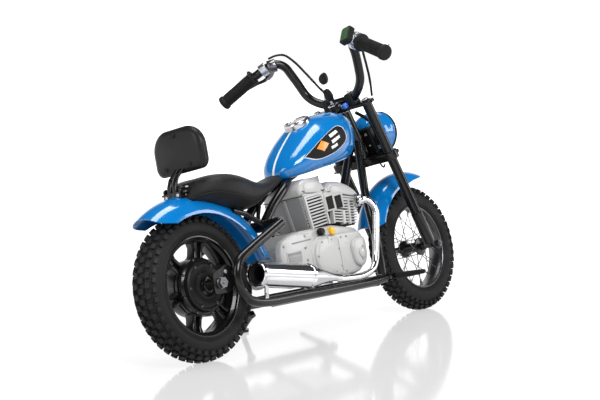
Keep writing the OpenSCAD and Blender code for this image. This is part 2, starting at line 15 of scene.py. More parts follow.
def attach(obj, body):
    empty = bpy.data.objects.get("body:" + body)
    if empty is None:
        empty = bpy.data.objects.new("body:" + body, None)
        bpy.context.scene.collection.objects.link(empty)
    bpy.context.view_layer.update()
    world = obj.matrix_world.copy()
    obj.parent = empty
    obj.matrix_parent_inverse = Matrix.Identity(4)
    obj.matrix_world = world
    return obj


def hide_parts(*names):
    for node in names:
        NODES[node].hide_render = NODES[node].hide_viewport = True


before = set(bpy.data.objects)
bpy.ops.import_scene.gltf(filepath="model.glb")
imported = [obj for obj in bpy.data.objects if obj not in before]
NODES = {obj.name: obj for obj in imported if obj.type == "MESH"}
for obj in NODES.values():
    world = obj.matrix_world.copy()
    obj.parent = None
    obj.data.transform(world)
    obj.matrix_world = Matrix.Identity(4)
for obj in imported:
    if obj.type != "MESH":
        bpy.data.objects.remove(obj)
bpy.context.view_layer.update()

# ---- The parked frame ----
LEAN = math.radians(13.7)
CROWN = 40
SAG = CROWN * (1 - math.cos(LEAN))
ORIGIN = (-402, -121.1, SAG)
MM = 0.001
PARKED = Matrix.Translation(Vector(ORIGIN) * MM) @ Matrix.Rotation(-LEAN, 4, "X")

# ---- Driving dimensions, as in the CAD ----
WHEELBASE = 802
REAR_Z = 160
REAR_R = 160
REAR_HALF = 35
FRONT_R = 162
FRONT_HALF = 30
FRONT_CROWN = 34
FRONT_Z = FRONT_R - FRONT_CROWN + (FRONT_CROWN - SAG) / math.cos(LEAN)
RAIL_Y = 95
TUBE_R = 10.5
RAKE = math.radians(22.8)
HEAD = np.array([648.0, 0.0, 460.0])
HEAD_UP = np.array([-math.sin(RAKE), 0, math.cos(RAKE)])
HEAD_FORWARD = np.array([math.cos(RAKE), 0, math.sin(RAKE)])
LEG_Y = 79
SIDES = ((-1, "right"), (1, "left"))


def circle(count):
    """Angles evenly round a circle."""
    return np.linspace(0, 2 * math.pi, count, endpoint=False)


def along(s, forward=0, y=0):
    """A point s up the steering axis, forward of it and y to the left."""
    return HEAD + HEAD_UP * s + HEAD_FORWARD * forward + np.array([0, y, 0])


# ---- Shapes: plain lists of points and faces in millimetres ----
class Shape:
    def __init__(self, points, faces):
        self.points = np.array(points, float).reshape(-1, 3)
        self.faces = [tuple(f) for f in faces]

    def __add__(self, other):
        n = len(self.points)
        return Shape(np.vstack([self.points, other.points]),
                     self.faces + [tuple(i + n for i in f) for f in other.faces])

    def moved(self, matrix):
        m = np.array(matrix)
        return Shape(self.points @ m[:3, :3].T + m[:3, 3], self.faces)

    def mirrored(self):
        return Shape(self.points * [1, -1, 1], [f[::-1] for f in self.faces])


def join(shapes):
    total = Shape(np.zeros((0, 3)), [])
    for shape in shapes:
        total = total + shape
    return total


def both(shape):
    """A shape and its mirror image on the other side of the bike."""
    return shape + shape.mirrored()


def unit(v):
    v = np.array(v, float)
    return v / np.linalg.norm(v)


def pose(origin, z=(0, 0, 1), x=(1, 0, 0)):
    """Places a local frame: its z axis along z and its x axis as near x as it can be."""
    z = unit(z)
    y = np.cross(z, x)
    if np.linalg.norm(y) < 1e-6:
        y = np.cross(z, (0, 1, 0))
    y = unit(y)
    m = np.eye(4)
    m[:3, 0], m[:3, 1], m[:3, 2], m[:3, 3] = np.cross(y, z), y, z, origin
    return m


def side(x=0, z=0, y=0):
    """A local frame whose x and y are the bike's x and z, and whose z points to the right."""
    return pose((x, y, z), (0, -1, 0))


def head_frame(s, forward=0, y=0):
    return pose(along(s, forward, y), HEAD_UP, HEAD_FORWARD)


def loft(rings, caps=True, closed=False):
    n = len(rings[0])
    points = np.vstack(rings)
    faces = []
    count = len(rings)
    for i in range(count if closed else count - 1):
        a, b = i * n, (i + 1) % count * n
        faces += [(a + k, a + (k + 1) % n, b + (k + 1) % n, b + k) for k in range(n)]
    if caps and not closed:
        faces += [tuple(range(n))[::-1], tuple((count - 1) * n + k for k in range(n))]
    return Shape(points, faces)


def lathe(profile, sides=72, sweep=360, start=0):
    """Turns (radius, height) points about the local z axis."""
    whole = sweep >= 360
    steps = sides if whole else sides + 1
    points = []
    for i in range(steps):
        a = math.radians(start + sweep * i / sides)
        points += [(r * math.cos(a), r * math.sin(a), h) for r, h in profile]
    n = len(profile)
    faces = []
    for i in range(sides):
        a, b = i * n, (i + 1) % steps * n
        faces += [(a + k, b + k, b + k + 1, a + k + 1) for k in range(n - 1)]
    if not whole:
        faces += [tuple(range(n)), tuple((steps - 1) * n + k for k in range(n))[::-1]]
    return Shape(points, faces)


def ring_of(profile, sides=72):
    """A closed profile turned about z: a rim or a tyre."""
    return lathe(list(profile) + [profile[0]], sides)


def prism(outline, low, high):
    n = len(outline)
    points = [(x, y, low) for x, y in outline] + [(x, y, high) for x, y in outline]
    faces = [tuple(range(n))[::-1], tuple(range(n, 2 * n))]
    faces += [(k, (k + 1) % n, n + (k + 1) % n, n + k) for k in range(n)]
    return Shape(points, faces)


def block(low, high):
    (x0, y0, z0), (x1, y1, z1) = low, high
    return prism([(x0, y0), (x1, y0), (x1, y1), (x0, y1)], z0, z1)


def smooth_path(points, step=4.0):
    """An even curve through the points (centripetal Catmull-Rom)."""
    p = [np.array(q, float) for q in points]
    p = [2 * p[0] - p[1]] + p + [2 * p[-1] - p[-2]]
    out = []
    for i in range(1, len(p) - 2):
        a, b, c, d = p[i - 1:i + 3]
        ta = 0.0
        tb = ta + np.linalg.norm(b - a) ** 0.5
        tc = tb + np.linalg.norm(c - b) ** 0.5
        td = tc + np.linalg.norm(d - c) ** 0.5
        count = max(2, int(np.linalg.norm(c - b) / step))
        for k in range(count):
            t = tb + (tc - tb) * k / count
            ab = (tb - t) / (tb - ta) * a + (t - ta) / (tb - ta) * b
            bc = (tc - t) / (tc - tb) * b + (t - tb) / (tc - tb) * c
            cd = (td - t) / (td - tc) * c + (t - tc) / (td - tc) * d
            abc = (tc - t) / (tc - ta) * ab + (t - ta) / (tc - ta) * bc
            bcd = (td - t) / (td - tb) * bc + (t - tb) / (td - tb) * cd
            out.append((tc - t) / (tc - tb) * abc + (t - tb) / (tc - tb) * bcd)
    out.append(p[-2])
    return out


def bent_path(points, radius=30, step=8):
    """Straight runs with a round bend at each corner."""
    p = [np.array(q, float) for q in points]
    out = [p[0]]
    for a, b, c in zip(p, p[1:], p[2:]):
        u, v = unit(a - b), unit(c - b)
        angle = math.acos(max(-1, min(1, float(u @ v))))
        reach = radius / math.tan(angle / 2)
        reach = min(reach, 0.48 * np.linalg.norm(a - b), 0.48 * np.linalg.norm(c - b))
        start, end = b + u * reach, b + v * reach
        for t in np.linspace(0, 1, step):
            out.append((1 - t) ** 2 * start + 2 * t * (1 - t) * b + t * t * end)
    out.append(p[-1])
    return out


def sweep(path, radius, sides=20, caps=True, flat=1.0):
    """A round tube along a path. radius may be a number or a function of the share of its length."""
    p = np.array(path, float)
    seg = np.linalg.norm(np.diff(p, axis=0), axis=1)
    keep = np.concatenate([[True], seg > 1e-6])
    p = p[keep]
    seg = np.linalg.norm(np.diff(p, axis=0), axis=1)
    share = np.concatenate([[0], np.cumsum(seg)]) / seg.sum()
    tangent = np.gradient(p, axis=0)
    tangent /= np.linalg.norm(tangent, axis=1)[:, None]
    u = np.cross(tangent[0], (0, 1, 0) if abs(tangent[0][1]) < 0.9 else (0, 0, 1))
    u = unit(u)
    rings = []
    for i, q in enumerate(p):
        u = unit(u - tangent[i] * (u @ tangent[i]))
        v = np.cross(tangent[i], u)
        r = radius(share[i]) if callable(radius) else radius
        rings.append([q + r * (math.cos(a) * u + flat * math.sin(a) * v)
                      for a in circle(sides)])
    return loft(rings, caps)


def rod(a, b, r, sides=20):
    return sweep([a, b], r, sides)


def bolt(origin, z, r=5, h=3.5):
    """A button-head screw with a hexagon socket."""
    profile = [(0.01, -2), (r, -2), (r, h * 0.45), (r * 0.86, h * 0.85), (r * 0.55, h)]
    socket = [(r * 0.5, h), (r * 0.45, h * 0.35), (0.01, h * 0.3)]
    return lathe(profile + socket, 18).moved(pose(origin, z))


def hex_nut(origin, z, r=7, h=6):
    outline = [(r * math.cos(a), r * math.sin(a)) for a in np.radians(range(0, 360, 60))]
    top = [(0.8 * x, 0.8 * y) for x, y in outline]
    nut = loft([[(x, y, 0) for x, y in outline], [(x, y, h * 0.8) for x, y in outline],
                [(x, y, h) for x, y in top]])
    stud = lathe([(0.01, h), (r * 0.42, h), (r * 0.42, h + 2.5), (r * 0.3, h + 3.4), (0.01, h + 3.4)], 14)
    return (nut + stud).moved(pose(origin, z))


def rounded_rect(w, h, r, n=5, cx=0, cy=0):
    out = []
    for ux, uy, a0 in ((1, 1, 0), (-1, 1, 90), (-1, -1, 180), (1, -1, 270)):
        for k in range(n + 1):
            a = math.radians(a0 + 90 * k / n)
            out.append((cx + ux * (w / 2 - r) + r * math.cos(a), cy + uy * (h / 2 - r) + r * math.sin(a)))
    return out


def rounded_outline(points, radius, n=5):
    """A polygon with round corners. radius is one number or one for each corner."""
    p = [np.array(q, float) for q in points]
    radii = radius if isinstance(radius, (list, tuple)) else [radius] * len(p)
    out = []
    for i, b in enumerate(p):
        a, c = p[i - 1], p[(i + 1) % len(p)]
        u, v = unit(a - b), unit(c - b)
        reach = min(radii[i], 0.45 * np.linalg.norm(a - b), 0.45 * np.linalg.norm(c - b))
        start, end = b + u * reach, b + v * reach
        for t in np.linspace(0, 1, n):
            out.append(tuple((1 - t) ** 2 * start + 2 * t * (1 - t) * b + t * t * end))
    return out


def puffed(outline, low, high, edge=3, steps=4):
    """A prism of an outline with round upper edges, its top a little crowned."""
    pts = np.array(outline, float)
    centre = pts.mean(0)
    nxt, prv = np.roll(pts, -1, 0), np.roll(pts, 1, 0)
    t = nxt - prv
    t /= np.maximum(np.linalg.norm(t, axis=1)[:, None], 1e-9)
    normal = np.stack([t[:, 1], -t[:, 0]], 1)
    if ((pts - centre) * normal).sum() < 0:
        normal = -normal
    rings = [np.column_stack([pts, np.full(len(pts), low)])]
    for k in range(steps + 1):
        a = math.pi / 2 * k / steps
        inset = edge * (1 - math.cos(a))
        z = high - edge + edge * math.sin(a)
        rings.append(np.column_stack([pts - normal * inset, np.full(len(pts), z)]))
    return loft(rings)


# ---- Materials ----
LARGE_SCALE = 6
SPREAD_SCALE = 40
BUMP_DEPTH = 0.0006
RANGE_SOCKETS = ("From Min", "From Max", "To Min", "To Max")


class Mat:
    """A node material: colour varied by noise, roughness varied by noise, and a fine bump."""

    def __init__(self, name, colour, rough, metal=0.0, coat=0.0, grain=900, bump=0.05, vary=0.06,
                 rough_vary=0.05, dust=0.0, ior=1.5):
        self.material = bpy.data.materials.new(name)
        self.material.use_nodes = True
        self.tree = self.material.node_tree
        self.shader = self.tree.nodes["Principled BSDF"]
        self.coords = self.add("ShaderNodeTexCoord").outputs["Object"]
        self.shader.inputs["Metallic"].default_value = metal
        self.shader.inputs["Coat Weight"].default_value = coat
        self.shader.inputs["Coat Roughness"].default_value = 0.04
        self.shader.inputs["IOR"].default_value = ior
        large = self.noise(LARGE_SCALE, 3)
        dark = [c * (1 - vary) for c in colour] + [1]
        light = [min(1, c * (1 + vary) + dust * 0.03) for c in colour] + [1]
        self.colour = self.mix(self.map(large, 0.35, 0.65, 0, 1), dark, light)
        spread = self.noise(SPREAD_SCALE, 4)
        self.link(self.map(spread, 0.3, 0.7, max(0.02, rough - rough_vary), rough + rough_vary),
                  self.shader.inputs["Roughness"])
        self.link(self.colour, self.shader.inputs["Base Color"])
        self.height = self.noise(grain, 3)
        self.bump = self.add("ShaderNodeBump")
        self.bump.inputs["Strength"].default_value = bump
        self.bump.inputs["Distance"].default_value = BUMP_DEPTH
        self.link(self.height, self.bump.inputs["Height"])
        self.link(self.bump.outputs["Normal"], self.shader.inputs["Normal"])

    def add(self, kind):
        return self.tree.nodes.new(kind)

    def link(self, a, b):
        self.tree.links.new(a, b)

    def noise(self, scale, detail):
        node = self.add("ShaderNodeTexNoise")
        node.inputs["Scale"].default_value = scale
        node.inputs["Detail"].default_value = detail
        self.link(self.coords, node.inputs["Vector"])
        return node.outputs["Fac"]

    def map(self, value, a, b, c, d):
        node = self.add("ShaderNodeMapRange")
        for name, v in zip(RANGE_SOCKETS, (a, b, c, d)):
            node.inputs[name].default_value = v
        self.link(value, node.inputs["Value"])
        return node.outputs["Result"]

    def mix(self, fac, a, b):
        node = self.add("ShaderNodeMix")
        node.data_type = "RGBA"
        self.link(fac, node.inputs["Factor"])
        for value, socket in ((a, node.inputs["A"]), (b, node.inputs["B"])):
            if isinstance(value, bpy.types.NodeSocket):
                self.link(value, socket)
            else:
                socket.default_value = list(value)[:3] + [1]
        return node.outputs["Result"]

    def math(self, kind, a, b=None):
        node = self.add("ShaderNodeMath")
        node.operation = kind
        for value, socket in zip((a, b), node.inputs):
            if value is None:
                continue
            if isinstance(value, bpy.types.NodeSocket):
                self.link(value, socket)
            else:
                socket.default_value = value
        return node.outputs["Value"]

    def set_colour(self, socket):
        self.colour = socket
        self.link(socket, self.shader.inputs["Base Color"])

    def xyz(self):
        node = self.add("ShaderNodeSeparateXYZ")
        self.link(self.coords, node.inputs["Vector"])
        return node.outputs


def leather():
    m = Mat("seat_leather", (0.011, 0.0105, 0.011), 0.44, grain=500, bump=0.3, vary=0.12, ior=1.3)
    cells = m.add("ShaderNodeTexVoronoi")
    cells.feature = "DISTANCE_TO_EDGE"
    cells.inputs["Scale"].default_value = 420
    m.link(m.coords, cells.inputs["Vector"])
    pebble = m.map(cells.outputs["Distance"], 0.0, 0.35, 0.0, 1.0)
    m.link(m.math("ADD", m.math("MULTIPLY", pebble, 0.8), m.math("MULTIPLY", m.height, 0.35)),
           m.bump.inputs["Height"])
    m.bump.inputs["Strength"].default_value = 0.45
    return m


STRIPE_HALF = 0.0032
STRIPE_FRONT = 0.415


def tank_paint():
    """Blue with a pale stripe down the rear centre line."""
    m = Mat("tank_blue", BLUE, 0.14, **GLOSS_BLUE)
    x, y = m.xyz()[:2]
    near = m.math("LESS_THAN", m.math("ABSOLUTE", y), STRIPE_HALF)
    behind = m.math("LESS_THAN", x, STRIPE_FRONT)
    stripe = m.math("MULTIPLY", near, behind)
    m.set_colour(m.mix(stripe, m.colour, (0.86, 0.89, 0.92)))
    return m


BLUE = (0.0, 0.172, 0.50)
BLACK = (0.006, 0.006, 0.0065)
SOFT_BLACK = (0.009, 0.009, 0.0095)
GLOSS_BLUE = {"coat": 0.55, "grain": 300, "bump": 0.01, "vary": 0.03, "rough_vary": 0.02}
MATS = {}


def make_materials():
    def add(key, slot, *args, **kw):
        MATS[key] = Mat(key + "_look", *args, **kw).material

    add("blue", "body_blue", BLUE, 0.14, **GLOSS_BLUE)
    add("frame", "frame_black", BLACK, 0.24, coat=0.3, grain=1400, bump=0.05, ior=1.3)
    add("cast", "cast_black", BLACK, 0.24, coat=0.3, grain=800, bump=0.10, ior=1.3)
    add("black_plastic", "black_plastic", SOFT_BLACK, 0.42, grain=1600, bump=0.12, ior=1.3)
    add("matt_black", "black_plastic", BLACK, 0.6, grain=1600, bump=0.15, ior=1.3)
    add("shell", "black_plastic", (0.012, 0.012, 0.013), 0.36, grain=1800, bump=0.2, ior=1.3)
    add("rubber", "rubber", SOFT_BLACK, 0.62, grain=1200, bump=0.2, ior=1.3)
    add("tyre", "tyre", (0.010, 0.0095, 0.0095), 0.60, grain=700, bump=0.3, vary=0.15, dust=0.15, ior=1.3)
    add("tread", "tyre", (0.012, 0.0115, 0.011), 0.55, grain=700, bump=0.3, vary=0.2, dust=0.2, ior=1.3)
    add("chrome", "chrome", (0.70, 0.70, 0.72), 0.07, metal=1.0, grain=200, bump=0.01, vary=0.03,
        rough_vary=0.03)
    add("steel", "steel", (0.55, 0.55, 0.57), 0.26, metal=1.0, grain=1500, bump=0.08)
    add("dark_steel", "steel", (0.16, 0.16, 0.17), 0.3, metal=1.0, grain=1500, bump=0.08)
    add("cap_grey", "chrome", (0.20, 0.23, 0.27), 0.22, coat=0.6, grain=1500, bump=0.03)
    add("zinc", "steel", (0.62, 0.63, 0.66), 0.32, metal=1.0, grain=1500, bump=0.08)
    add("silver", "silver_plastic", (0.50, 0.50, 0.495), 0.34, coat=0.25, grain=1800, bump=0.05, vary=0.03)
    # A darker copy of the silver; on the case recess and its slats that darkness is painted shade
    add("silver_dim", "silver_plastic", (0.34, 0.34, 0.34), 0.38, coat=0.2, grain=1800, bump=0.06,
        vary=0.04)
    add("grey", "grey_plastic", (0.27, 0.27, 0.275), 0.42, grain=1800, bump=0.08, vary=0.05)
    add("yellow", "yellow_plastic", (0.90, 0.50, 0.01), 0.3, coat=0.3, grain=1200, bump=0.05)
    add("orange", "body_blue", (0.92, 0.30, 0.03), 0.3, coat=0.3, grain=1200, bump=0.03)
    add("white", "body_blue", (0.83, 0.84, 0.85), 0.25, coat=0.4, grain=1200, bump=0.02)
    MATS["navy"] = Mat("navy_look", (0.035, 0.05, 0.20), 0.4, grain=900, bump=0.1).material
    # Near-black painted shade for the cylinder cores between the fins, the vents and the screw wells
    add("painted_shade", "black_plastic", (0.004, 0.004, 0.004), 0.8, grain=900, bump=0.1)
    add("display", "black_plastic", (0.05, 0.11, 0.045), 0.12, coat=1.0, grain=500, bump=0.02)
    add("indicator", "black_plastic", (0.02, 0.16, 0.75), 0.12, coat=1.0, grain=500, bump=0.02)
    MATS["leather"] = leather().material
    MATS["tank"] = tank_paint().material
    glass = Mat("clear_lens", (0.92, 0.95, 0.97), 0.05, grain=400, bump=0.05, rough_vary=0.02)
    glass.shader.inputs["Transmission Weight"].default_value = 0.85
    MATS["glass"] = glass.material


make_materials()


# ---- Pieces ----
def piece(name, shape, look, body="frame", node=None, angle=35, bevel=0, subdivide=0):
    """A piece on a body, in place of a CAD node if one is named. Its look gives its material."""
    mesh = bpy.data.meshes.new(name)
    mesh.from_pydata((shape.points * MM).tolist(), [], shape.faces)
    work = bmesh.new()
    work.from_mesh(mesh)
    bmesh.ops.remove_doubles(work, verts=work.verts, dist=2e-6)
    bmesh.ops.recalc_face_normals(work, faces=work.faces)
    work.to_mesh(mesh)
    work.free()
    mesh.polygons.foreach_set("use_smooth", [True] * len(mesh.polygons))
    mesh.set_sharp_from_angle(angle=math.radians(angle))
    mesh.materials.append(MATS[look])
    obj = bpy.data.objects.new(name, mesh)
    bpy.context.scene.collection.objects.link(obj)
    obj.matrix_world = PARKED
    if bevel:
        edge = obj.modifiers.new("edge", "BEVEL")
        edge.width = bevel * MM
        edge.segments = 2
        edge.limit_method = "ANGLE"
        edge.angle_limit = math.radians(35)
        edge.harden_normals = True
    if subdivide:
        obj.modifiers.new("smooth", "SUBSURF").levels = subdivide
        obj.modifiers["smooth"].render_levels = subdivide
    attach(obj, body)
    if node:
        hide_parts(node)
    return obj


def finish_node(names, key):
    """A CAD node that stays, with a better material."""
    for name in names.split():
        mesh = NODES[name].data
        mesh.materials.clear()
        mesh.materials.append(MATS[key])


# ---- Wheels ----
def tyre(name, body, x, z, big_r, half, crown, bead, pitches, node):
    place = side(x, z)
    base = crown - 7
    centre = big_r - crown
    edge = math.asin(min(0.93, (half - 3) / base))
    wall = [(bead - 2, half * 0.74), (bead, half * 0.85), (bead + 3, half * 0.91), (bead + 5, half * 0.88),
            (bead + 6.5, half * 0.92), (bead + 8, half * 0.89), (bead + 14, half * 0.955)]
    arc = [(centre + base * math.cos(t), base * math.sin(t)) for t in np.linspace(edge, -edge, 17)]
    profile = wall + arc + [(r, -c) for r, c in wall[::-1]]
    piece(name, ring_of(profile, 96).moved(place), "tyre", body, node, angle=50)
    knobs = []
    rows = [(11, 8.6, 0.31, 0), (34, 7.8, 0.32, 0.5), (56, 7.4, 0.30, 0)]
    for k in range(pitches):
        for angle, width, length, shift in rows:
            for sign in (-1, 1):
                mid = (k + shift + (0.5 if sign > 0 else 0)) * 2 * math.pi / pitches
                reach = length * 2 * math.pi / pitches
                knobs.append(knob(centre, crown, math.radians(sign * angle), math.radians(width),
                                  mid, reach, half - 0.3))
    tread = join(knobs).moved(place)
    piece(name + "_blocks", tread, "tread", body, angle=30, bevel=1.1)


def knob(centre, crown, t, dt, mid, reach, limit):
    points = []
    for depth, taper in ((crown - 8.5, 1.0), (crown, 0.85)):
        for st, sa in ((-1, -1), (1, -1), (1, 1), (-1, 1)):
            a = mid + sa * reach * taper
            tt = t + st * dt * taper
            r = centre + depth * math.cos(tt)
            c = max(-limit, min(limit, depth * math.sin(tt)))
            points.append((r * math.cos(a), r * math.sin(a), c))
    faces = [(3, 2, 1, 0), (4, 5, 6, 7), (0, 1, 5, 4), (1, 2, 6, 5), (2, 3, 7, 6), (3, 0, 4, 7)]
    return Shape(points, faces)


def rim_profile(half, outside):
    """The closed section of a rim, from its left half and the left half of its well."""
    return half + [(r, -c) for r, c in half[-2::-1]] + outside + [(r, -c) for r, c in outside[::-1]]


def bolt_circle(radius, height, degrees, r, h):
    """Screws facing along the axle, at the given angles."""
    return join([bolt((radius * math.cos(a), radius * math.sin(a), height), (0, 0, 1), r, h)
                 for a in np.radians(degrees)])


def rear_wheel():
    place = side(0, REAR_Z)
    half_rim = [(108.5, 29.5), (107.5, 30), (105, 30), (103.8, 29), (102.6, 24), (100, 22), (97, 20),
                (95, 12), (94.4, 0)]
    profile = rim_profile(half_rim, [(98, -14), (104, -26)])
    piece("rear_rim_look", ring_of(profile, 96).moved(place), "cast", "rear_wheel", "rear_rim", angle=30)
    bars = []
    for k in range(6):
        turn = Matrix.Rotation(math.radians(60 * k + 15), 4, "Z")
        for sign in (-1, 1):
            rings = []
            for r, w, d, off in ((58, 9, 15, 9.5), (70, 8, 13, 8.8), (84, 8, 12, 9.5), (97, 11, 16, 11)):
                rings.append([(r, sign * off + u, v) for u, v in rounded_rect(w, 2 * d, 3.5, 3)])
            bars.append(loft(rings).moved(turn))
        web = [[(r, u, v) for u, v in rounded_rect(w, 8, 2, 2)] for r, w in ((56, 26), (72, 8))]
        bars.append(loft(web).moved(turn))
    piece("rear_cast_spokes", join(bars).moved(place), "cast", "rear_wheel", angle=40)
    hub = [(0.01, 45.5), (12, 45.5), (13.5, 44), (13.5, 40), (24, 38), (54, 27.5), (56, 28), (60, 26),
           (62, 24), (62, 18), (59, 17), (59, 14), (62, 13), (62, 7), (59, 6), (59, 3), (62, 2), (62, -22),
           (60, -27), (34, -29), (30, -34), (28, -44), (12, -46), (0.01, -46)]
    piece("hub_motor_look", lathe(hub, 72).moved(place), "cast", "rear_wheel", "hub_motor", angle=30)
    cover = [(0.01, 36.5), (19, 36.5), (21, 40.5), (24.5, 41.6), (28, 40.5), (30, 37), (44, 37.6),
             (46, 36.8), (50, 38.4), (53.5, 36.5), (55, 33), (55, 27), (0.01, 27)]
    discs = lathe(cover, 72)
    screws = bolt_circle(46, 37, range(0, 360, 60), 3.6, 2.4)
    piece("hub_cover_look", discs.moved(place), "black_plastic", "rear_wheel", "hub_cover",
          angle=28)
    piece("hub_cover_screws", screws.moved(place), "dark_steel", "rear_wheel", angle=32)
    rim_bolts = bolt_circle(59.5, 26, range(15, 375, 45), 3.4, 2.6)
    piece("hub_motor_screws", rim_bolts.moved(place), "dark_steel", "rear_wheel", angle=32)
    valve_angle = 0.6
    valve_c, valve_s = math.cos(valve_angle), math.sin(valve_angle)
    stem = lathe([(2.4, -14), (2.4, -4), (3.6, -3), (3.6, 6), (2.6, 8), (0.01, 8)], 14)
    valve = stem.moved(pose((-92 * valve_c, 92 * valve_s, 8), (valve_c, -valve_s, 0)))
    piece("rear_valve", valve.moved(place), "rubber", "rear_wheel", angle=32)


def front_wheel():
    place = side(WHEELBASE, FRONT_Z)
    half_rim = [(107.5, 22), (106.8, 22.6), (104.5, 22.6), (103.4, 21.4), (102.6, 17), (100.6, 14),
                (99.2, 7), (98.6, 0)]
    profile = rim_profile(half_rim, [(101, -8), (105, -17)])
    piece("front_rim_look", ring_of(profile, 96).moved(place), "dark_steel", "front_wheel", "front_rim",
          angle=30)
    wires = []
    count = 28
    for k in range(count):
        sign = 1 if k % 2 else -1
        twist = math.radians(52) * (1 if (k // 2) % 2 else -1)
        a = 2 * math.pi * k / count
        inner = np.array([21 * math.cos(a + twist), 21 * math.sin(a + twist), sign * 24.5])
        outer = np.array([99.5 * math.cos(a), 99.5 * math.sin(a), sign * 5.0])
        nipple = outer + (inner - outer) * 0.14
        wires += [rod(inner, outer, 1.05, 8), rod(outer, nipple, 2.0, 8)]
        wires.append(rod(inner - [0, 0, sign * 1.2], inner + [0, 0, sign * 3.0], 2.2, 8))
    piece("wire_spokes", join(wires).moved(place), "dark_steel", "front_wheel", "front_spokes",
          angle=60)
    hub = [(5.05, 41), (10, 41), (11, 40), (11, 30), (14, 29), (22, 27.5), (23, 26.5), (23, 23.5),
           (20, 22), (14, 18), (13, 12), (13, -12), (14, -18), (20, -22), (23, -23.5), (23, -26.5),
           (22, -27.5), (14, -29), (11, -30), (11, -40), (10, -41), (5.05, -41)]
    piece("front_hub_look", ring_of(hub, 48).moved(place), "cast", "front_wheel", "front_hub",
          angle=30)
    ends = join([hex_nut((WHEELBASE, s * 83.2, FRONT_Z), (0, s, 0), 8.5, 6.5) for s in (-1, 1)])
    piece("front_axle_nuts", ends, "dark_steel", "steering", angle=32)


def fender(name, body, node, x, z, mid_r, outer, inner, floor_r, start, sweep_angle, corners):
    """A shell of round section swept about an axle, with a rolled edge along each side."""
    reach = math.acos((floor_r - mid_r) / outer)
    arc = np.linspace(reach, -reach, 25)
    over = [(mid_r + outer * math.cos(t), outer * math.sin(t)) for t in arc]
    inner_reach = math.acos((floor_r - mid_r) / inner)
    under = [(mid_r + inner * math.cos(t), inner * math.sin(t))
             for t in np.linspace(-inner_reach, inner_reach, 25)]
    lip_r, lip_c = over[-1]
    lip = [(lip_r - 0.9, lip_c + 0.1), (lip_r - 1.2, lip_c + (outer - inner) * 0.5),
           (lip_r - 0.9, lip_c + (outer - inner) * 0.9)]
    lip_up = [(r, -c) for r, c in lip[::-1]]
    section = over + lip + under + lip_up
    steps = 72
    rings = []
    for i in range(steps + 1):
        t = i / steps
        a = math.radians(start + sweep_angle * t)
        # Round corners: the sides of the shell start later than its middle
        end = min(t, 1 - t) * math.radians(sweep_angle) * (mid_r + outer)
        ring = []
        for r, c in section:
            side_reach = abs(math.atan2(c, r - mid_r)) / reach
            corner = corners[0] if t < 0.5 else corners[1]
            back = corner * max(0.0, side_reach - 0.45) ** 2 / 0.3
            shift = max(0.0, back - end) * (1 if t < 0.5 else -1) / (mid_r + outer)
            ring.append((r * math.cos(a + shift), r * math.sin(a + shift), c))
        rings.append(ring)
    shape = loft(rings).moved(side(x, z))
    piece(name, shape, "blue", body, node, angle=50)


def fenders():
    fender("rear_fender_look", "frame", "rear_fender", 10, 127, 179, 52, 49, 186, 17, 107,
           (26, 42))
    fender("front_fender_look", "steering", "front_fender", WHEELBASE, FRONT_Z, 157, 44, 41, 167, 72, 88,
           (80, 22))


# ---- Frame ----
def frame_tubes():
    def loops(sign):
        y = sign * RAIL_Y
        straight = [(505, y, 99), (420, y, 99), (328, y, 99.5), (216, y, 101), (122, y, 102)]
        bend = [(82, y, 107), (58, y, 116), (44, y, 134), (37, y, 153), (40, y, 180), (53, y, 200)]
        path = smooth_path(straight + bend + [(90, y, 219), (145, y, 242.5), (205, y, 267.5)], 7)
        return sweep(path, TUBE_R, 24)

    for sign, name in SIDES:
        y = sign * 79
        plate = prism(rounded_outline([(-22, 138), (20, 138), (42, 152), (44, 186), (26, 198), (4, 190),
                                       (-20, 182)], 8), -2.5, 2.5)
        plate = plate.moved(side(y=y))
        lug = block((28, min(y, sign * 92), 150), (38, max(y, sign * 92), 182))
        piece(f"loop_{name}_look", loops(sign) + plate + lug, "frame", node=f"frame_loop_{name}", angle=40,
              bevel=0.8)
        nuts = hex_nut((0, sign * 81.6, REAR_Z), (0, sign, 0), 9.5, 7.5)
        washer = lathe([(0.01, 0), (12.5, 0), (12.5, 2), (12, 2.4), (0.01, 2.4)], 32)
        nuts = nuts + washer.moved(pose((0, sign * 81.5, REAR_Z), (0, sign, 0)))
        piece(f"rear_axle_nut_{name}", nuts, "dark_steel", angle=30)
        stay = [(205, sign * 40, 272), (150, sign * 44, 300), (112, sign * 44, 310)]
        piece(f"seat_stay_{name}", sweep(bent_path(stay, 30), 6.2, 16), "frame", angle=32)
        # Downtubes from the head, down behind the front wheel and back to the rails
        top = along(-12, -14, sign * 12)
        path = smooth_path([top, (600, sign * 36, 322), (552, sign * 80, 210), (545, sign * 84, 150),
                            (543, sign * 84, 112)], 10)
        piece(f"downtube_{name}", sweep(path, TUBE_R + 0.1, 24), "frame", angle=40)
        post = smooth_path([(346, sign * 13, 368), (312, sign * 30, 350), (258, sign * 33, 312),
                            (220, sign * 33, 276)], 8)
        piece(f"seat_tube_{name}", sweep(post, TUBE_R + 0.1, 24), "frame", angle=40)


# ---- Tank ----
TILT = math.radians(8.7)
TANK_AT = np.array([338.0, 0, 369.0])


def tank_point(a, y, b):
    c, s = math.cos(TILT), math.sin(TILT)
    return TANK_AT + np.array([a * c - b * s, y, a * s + b * c])


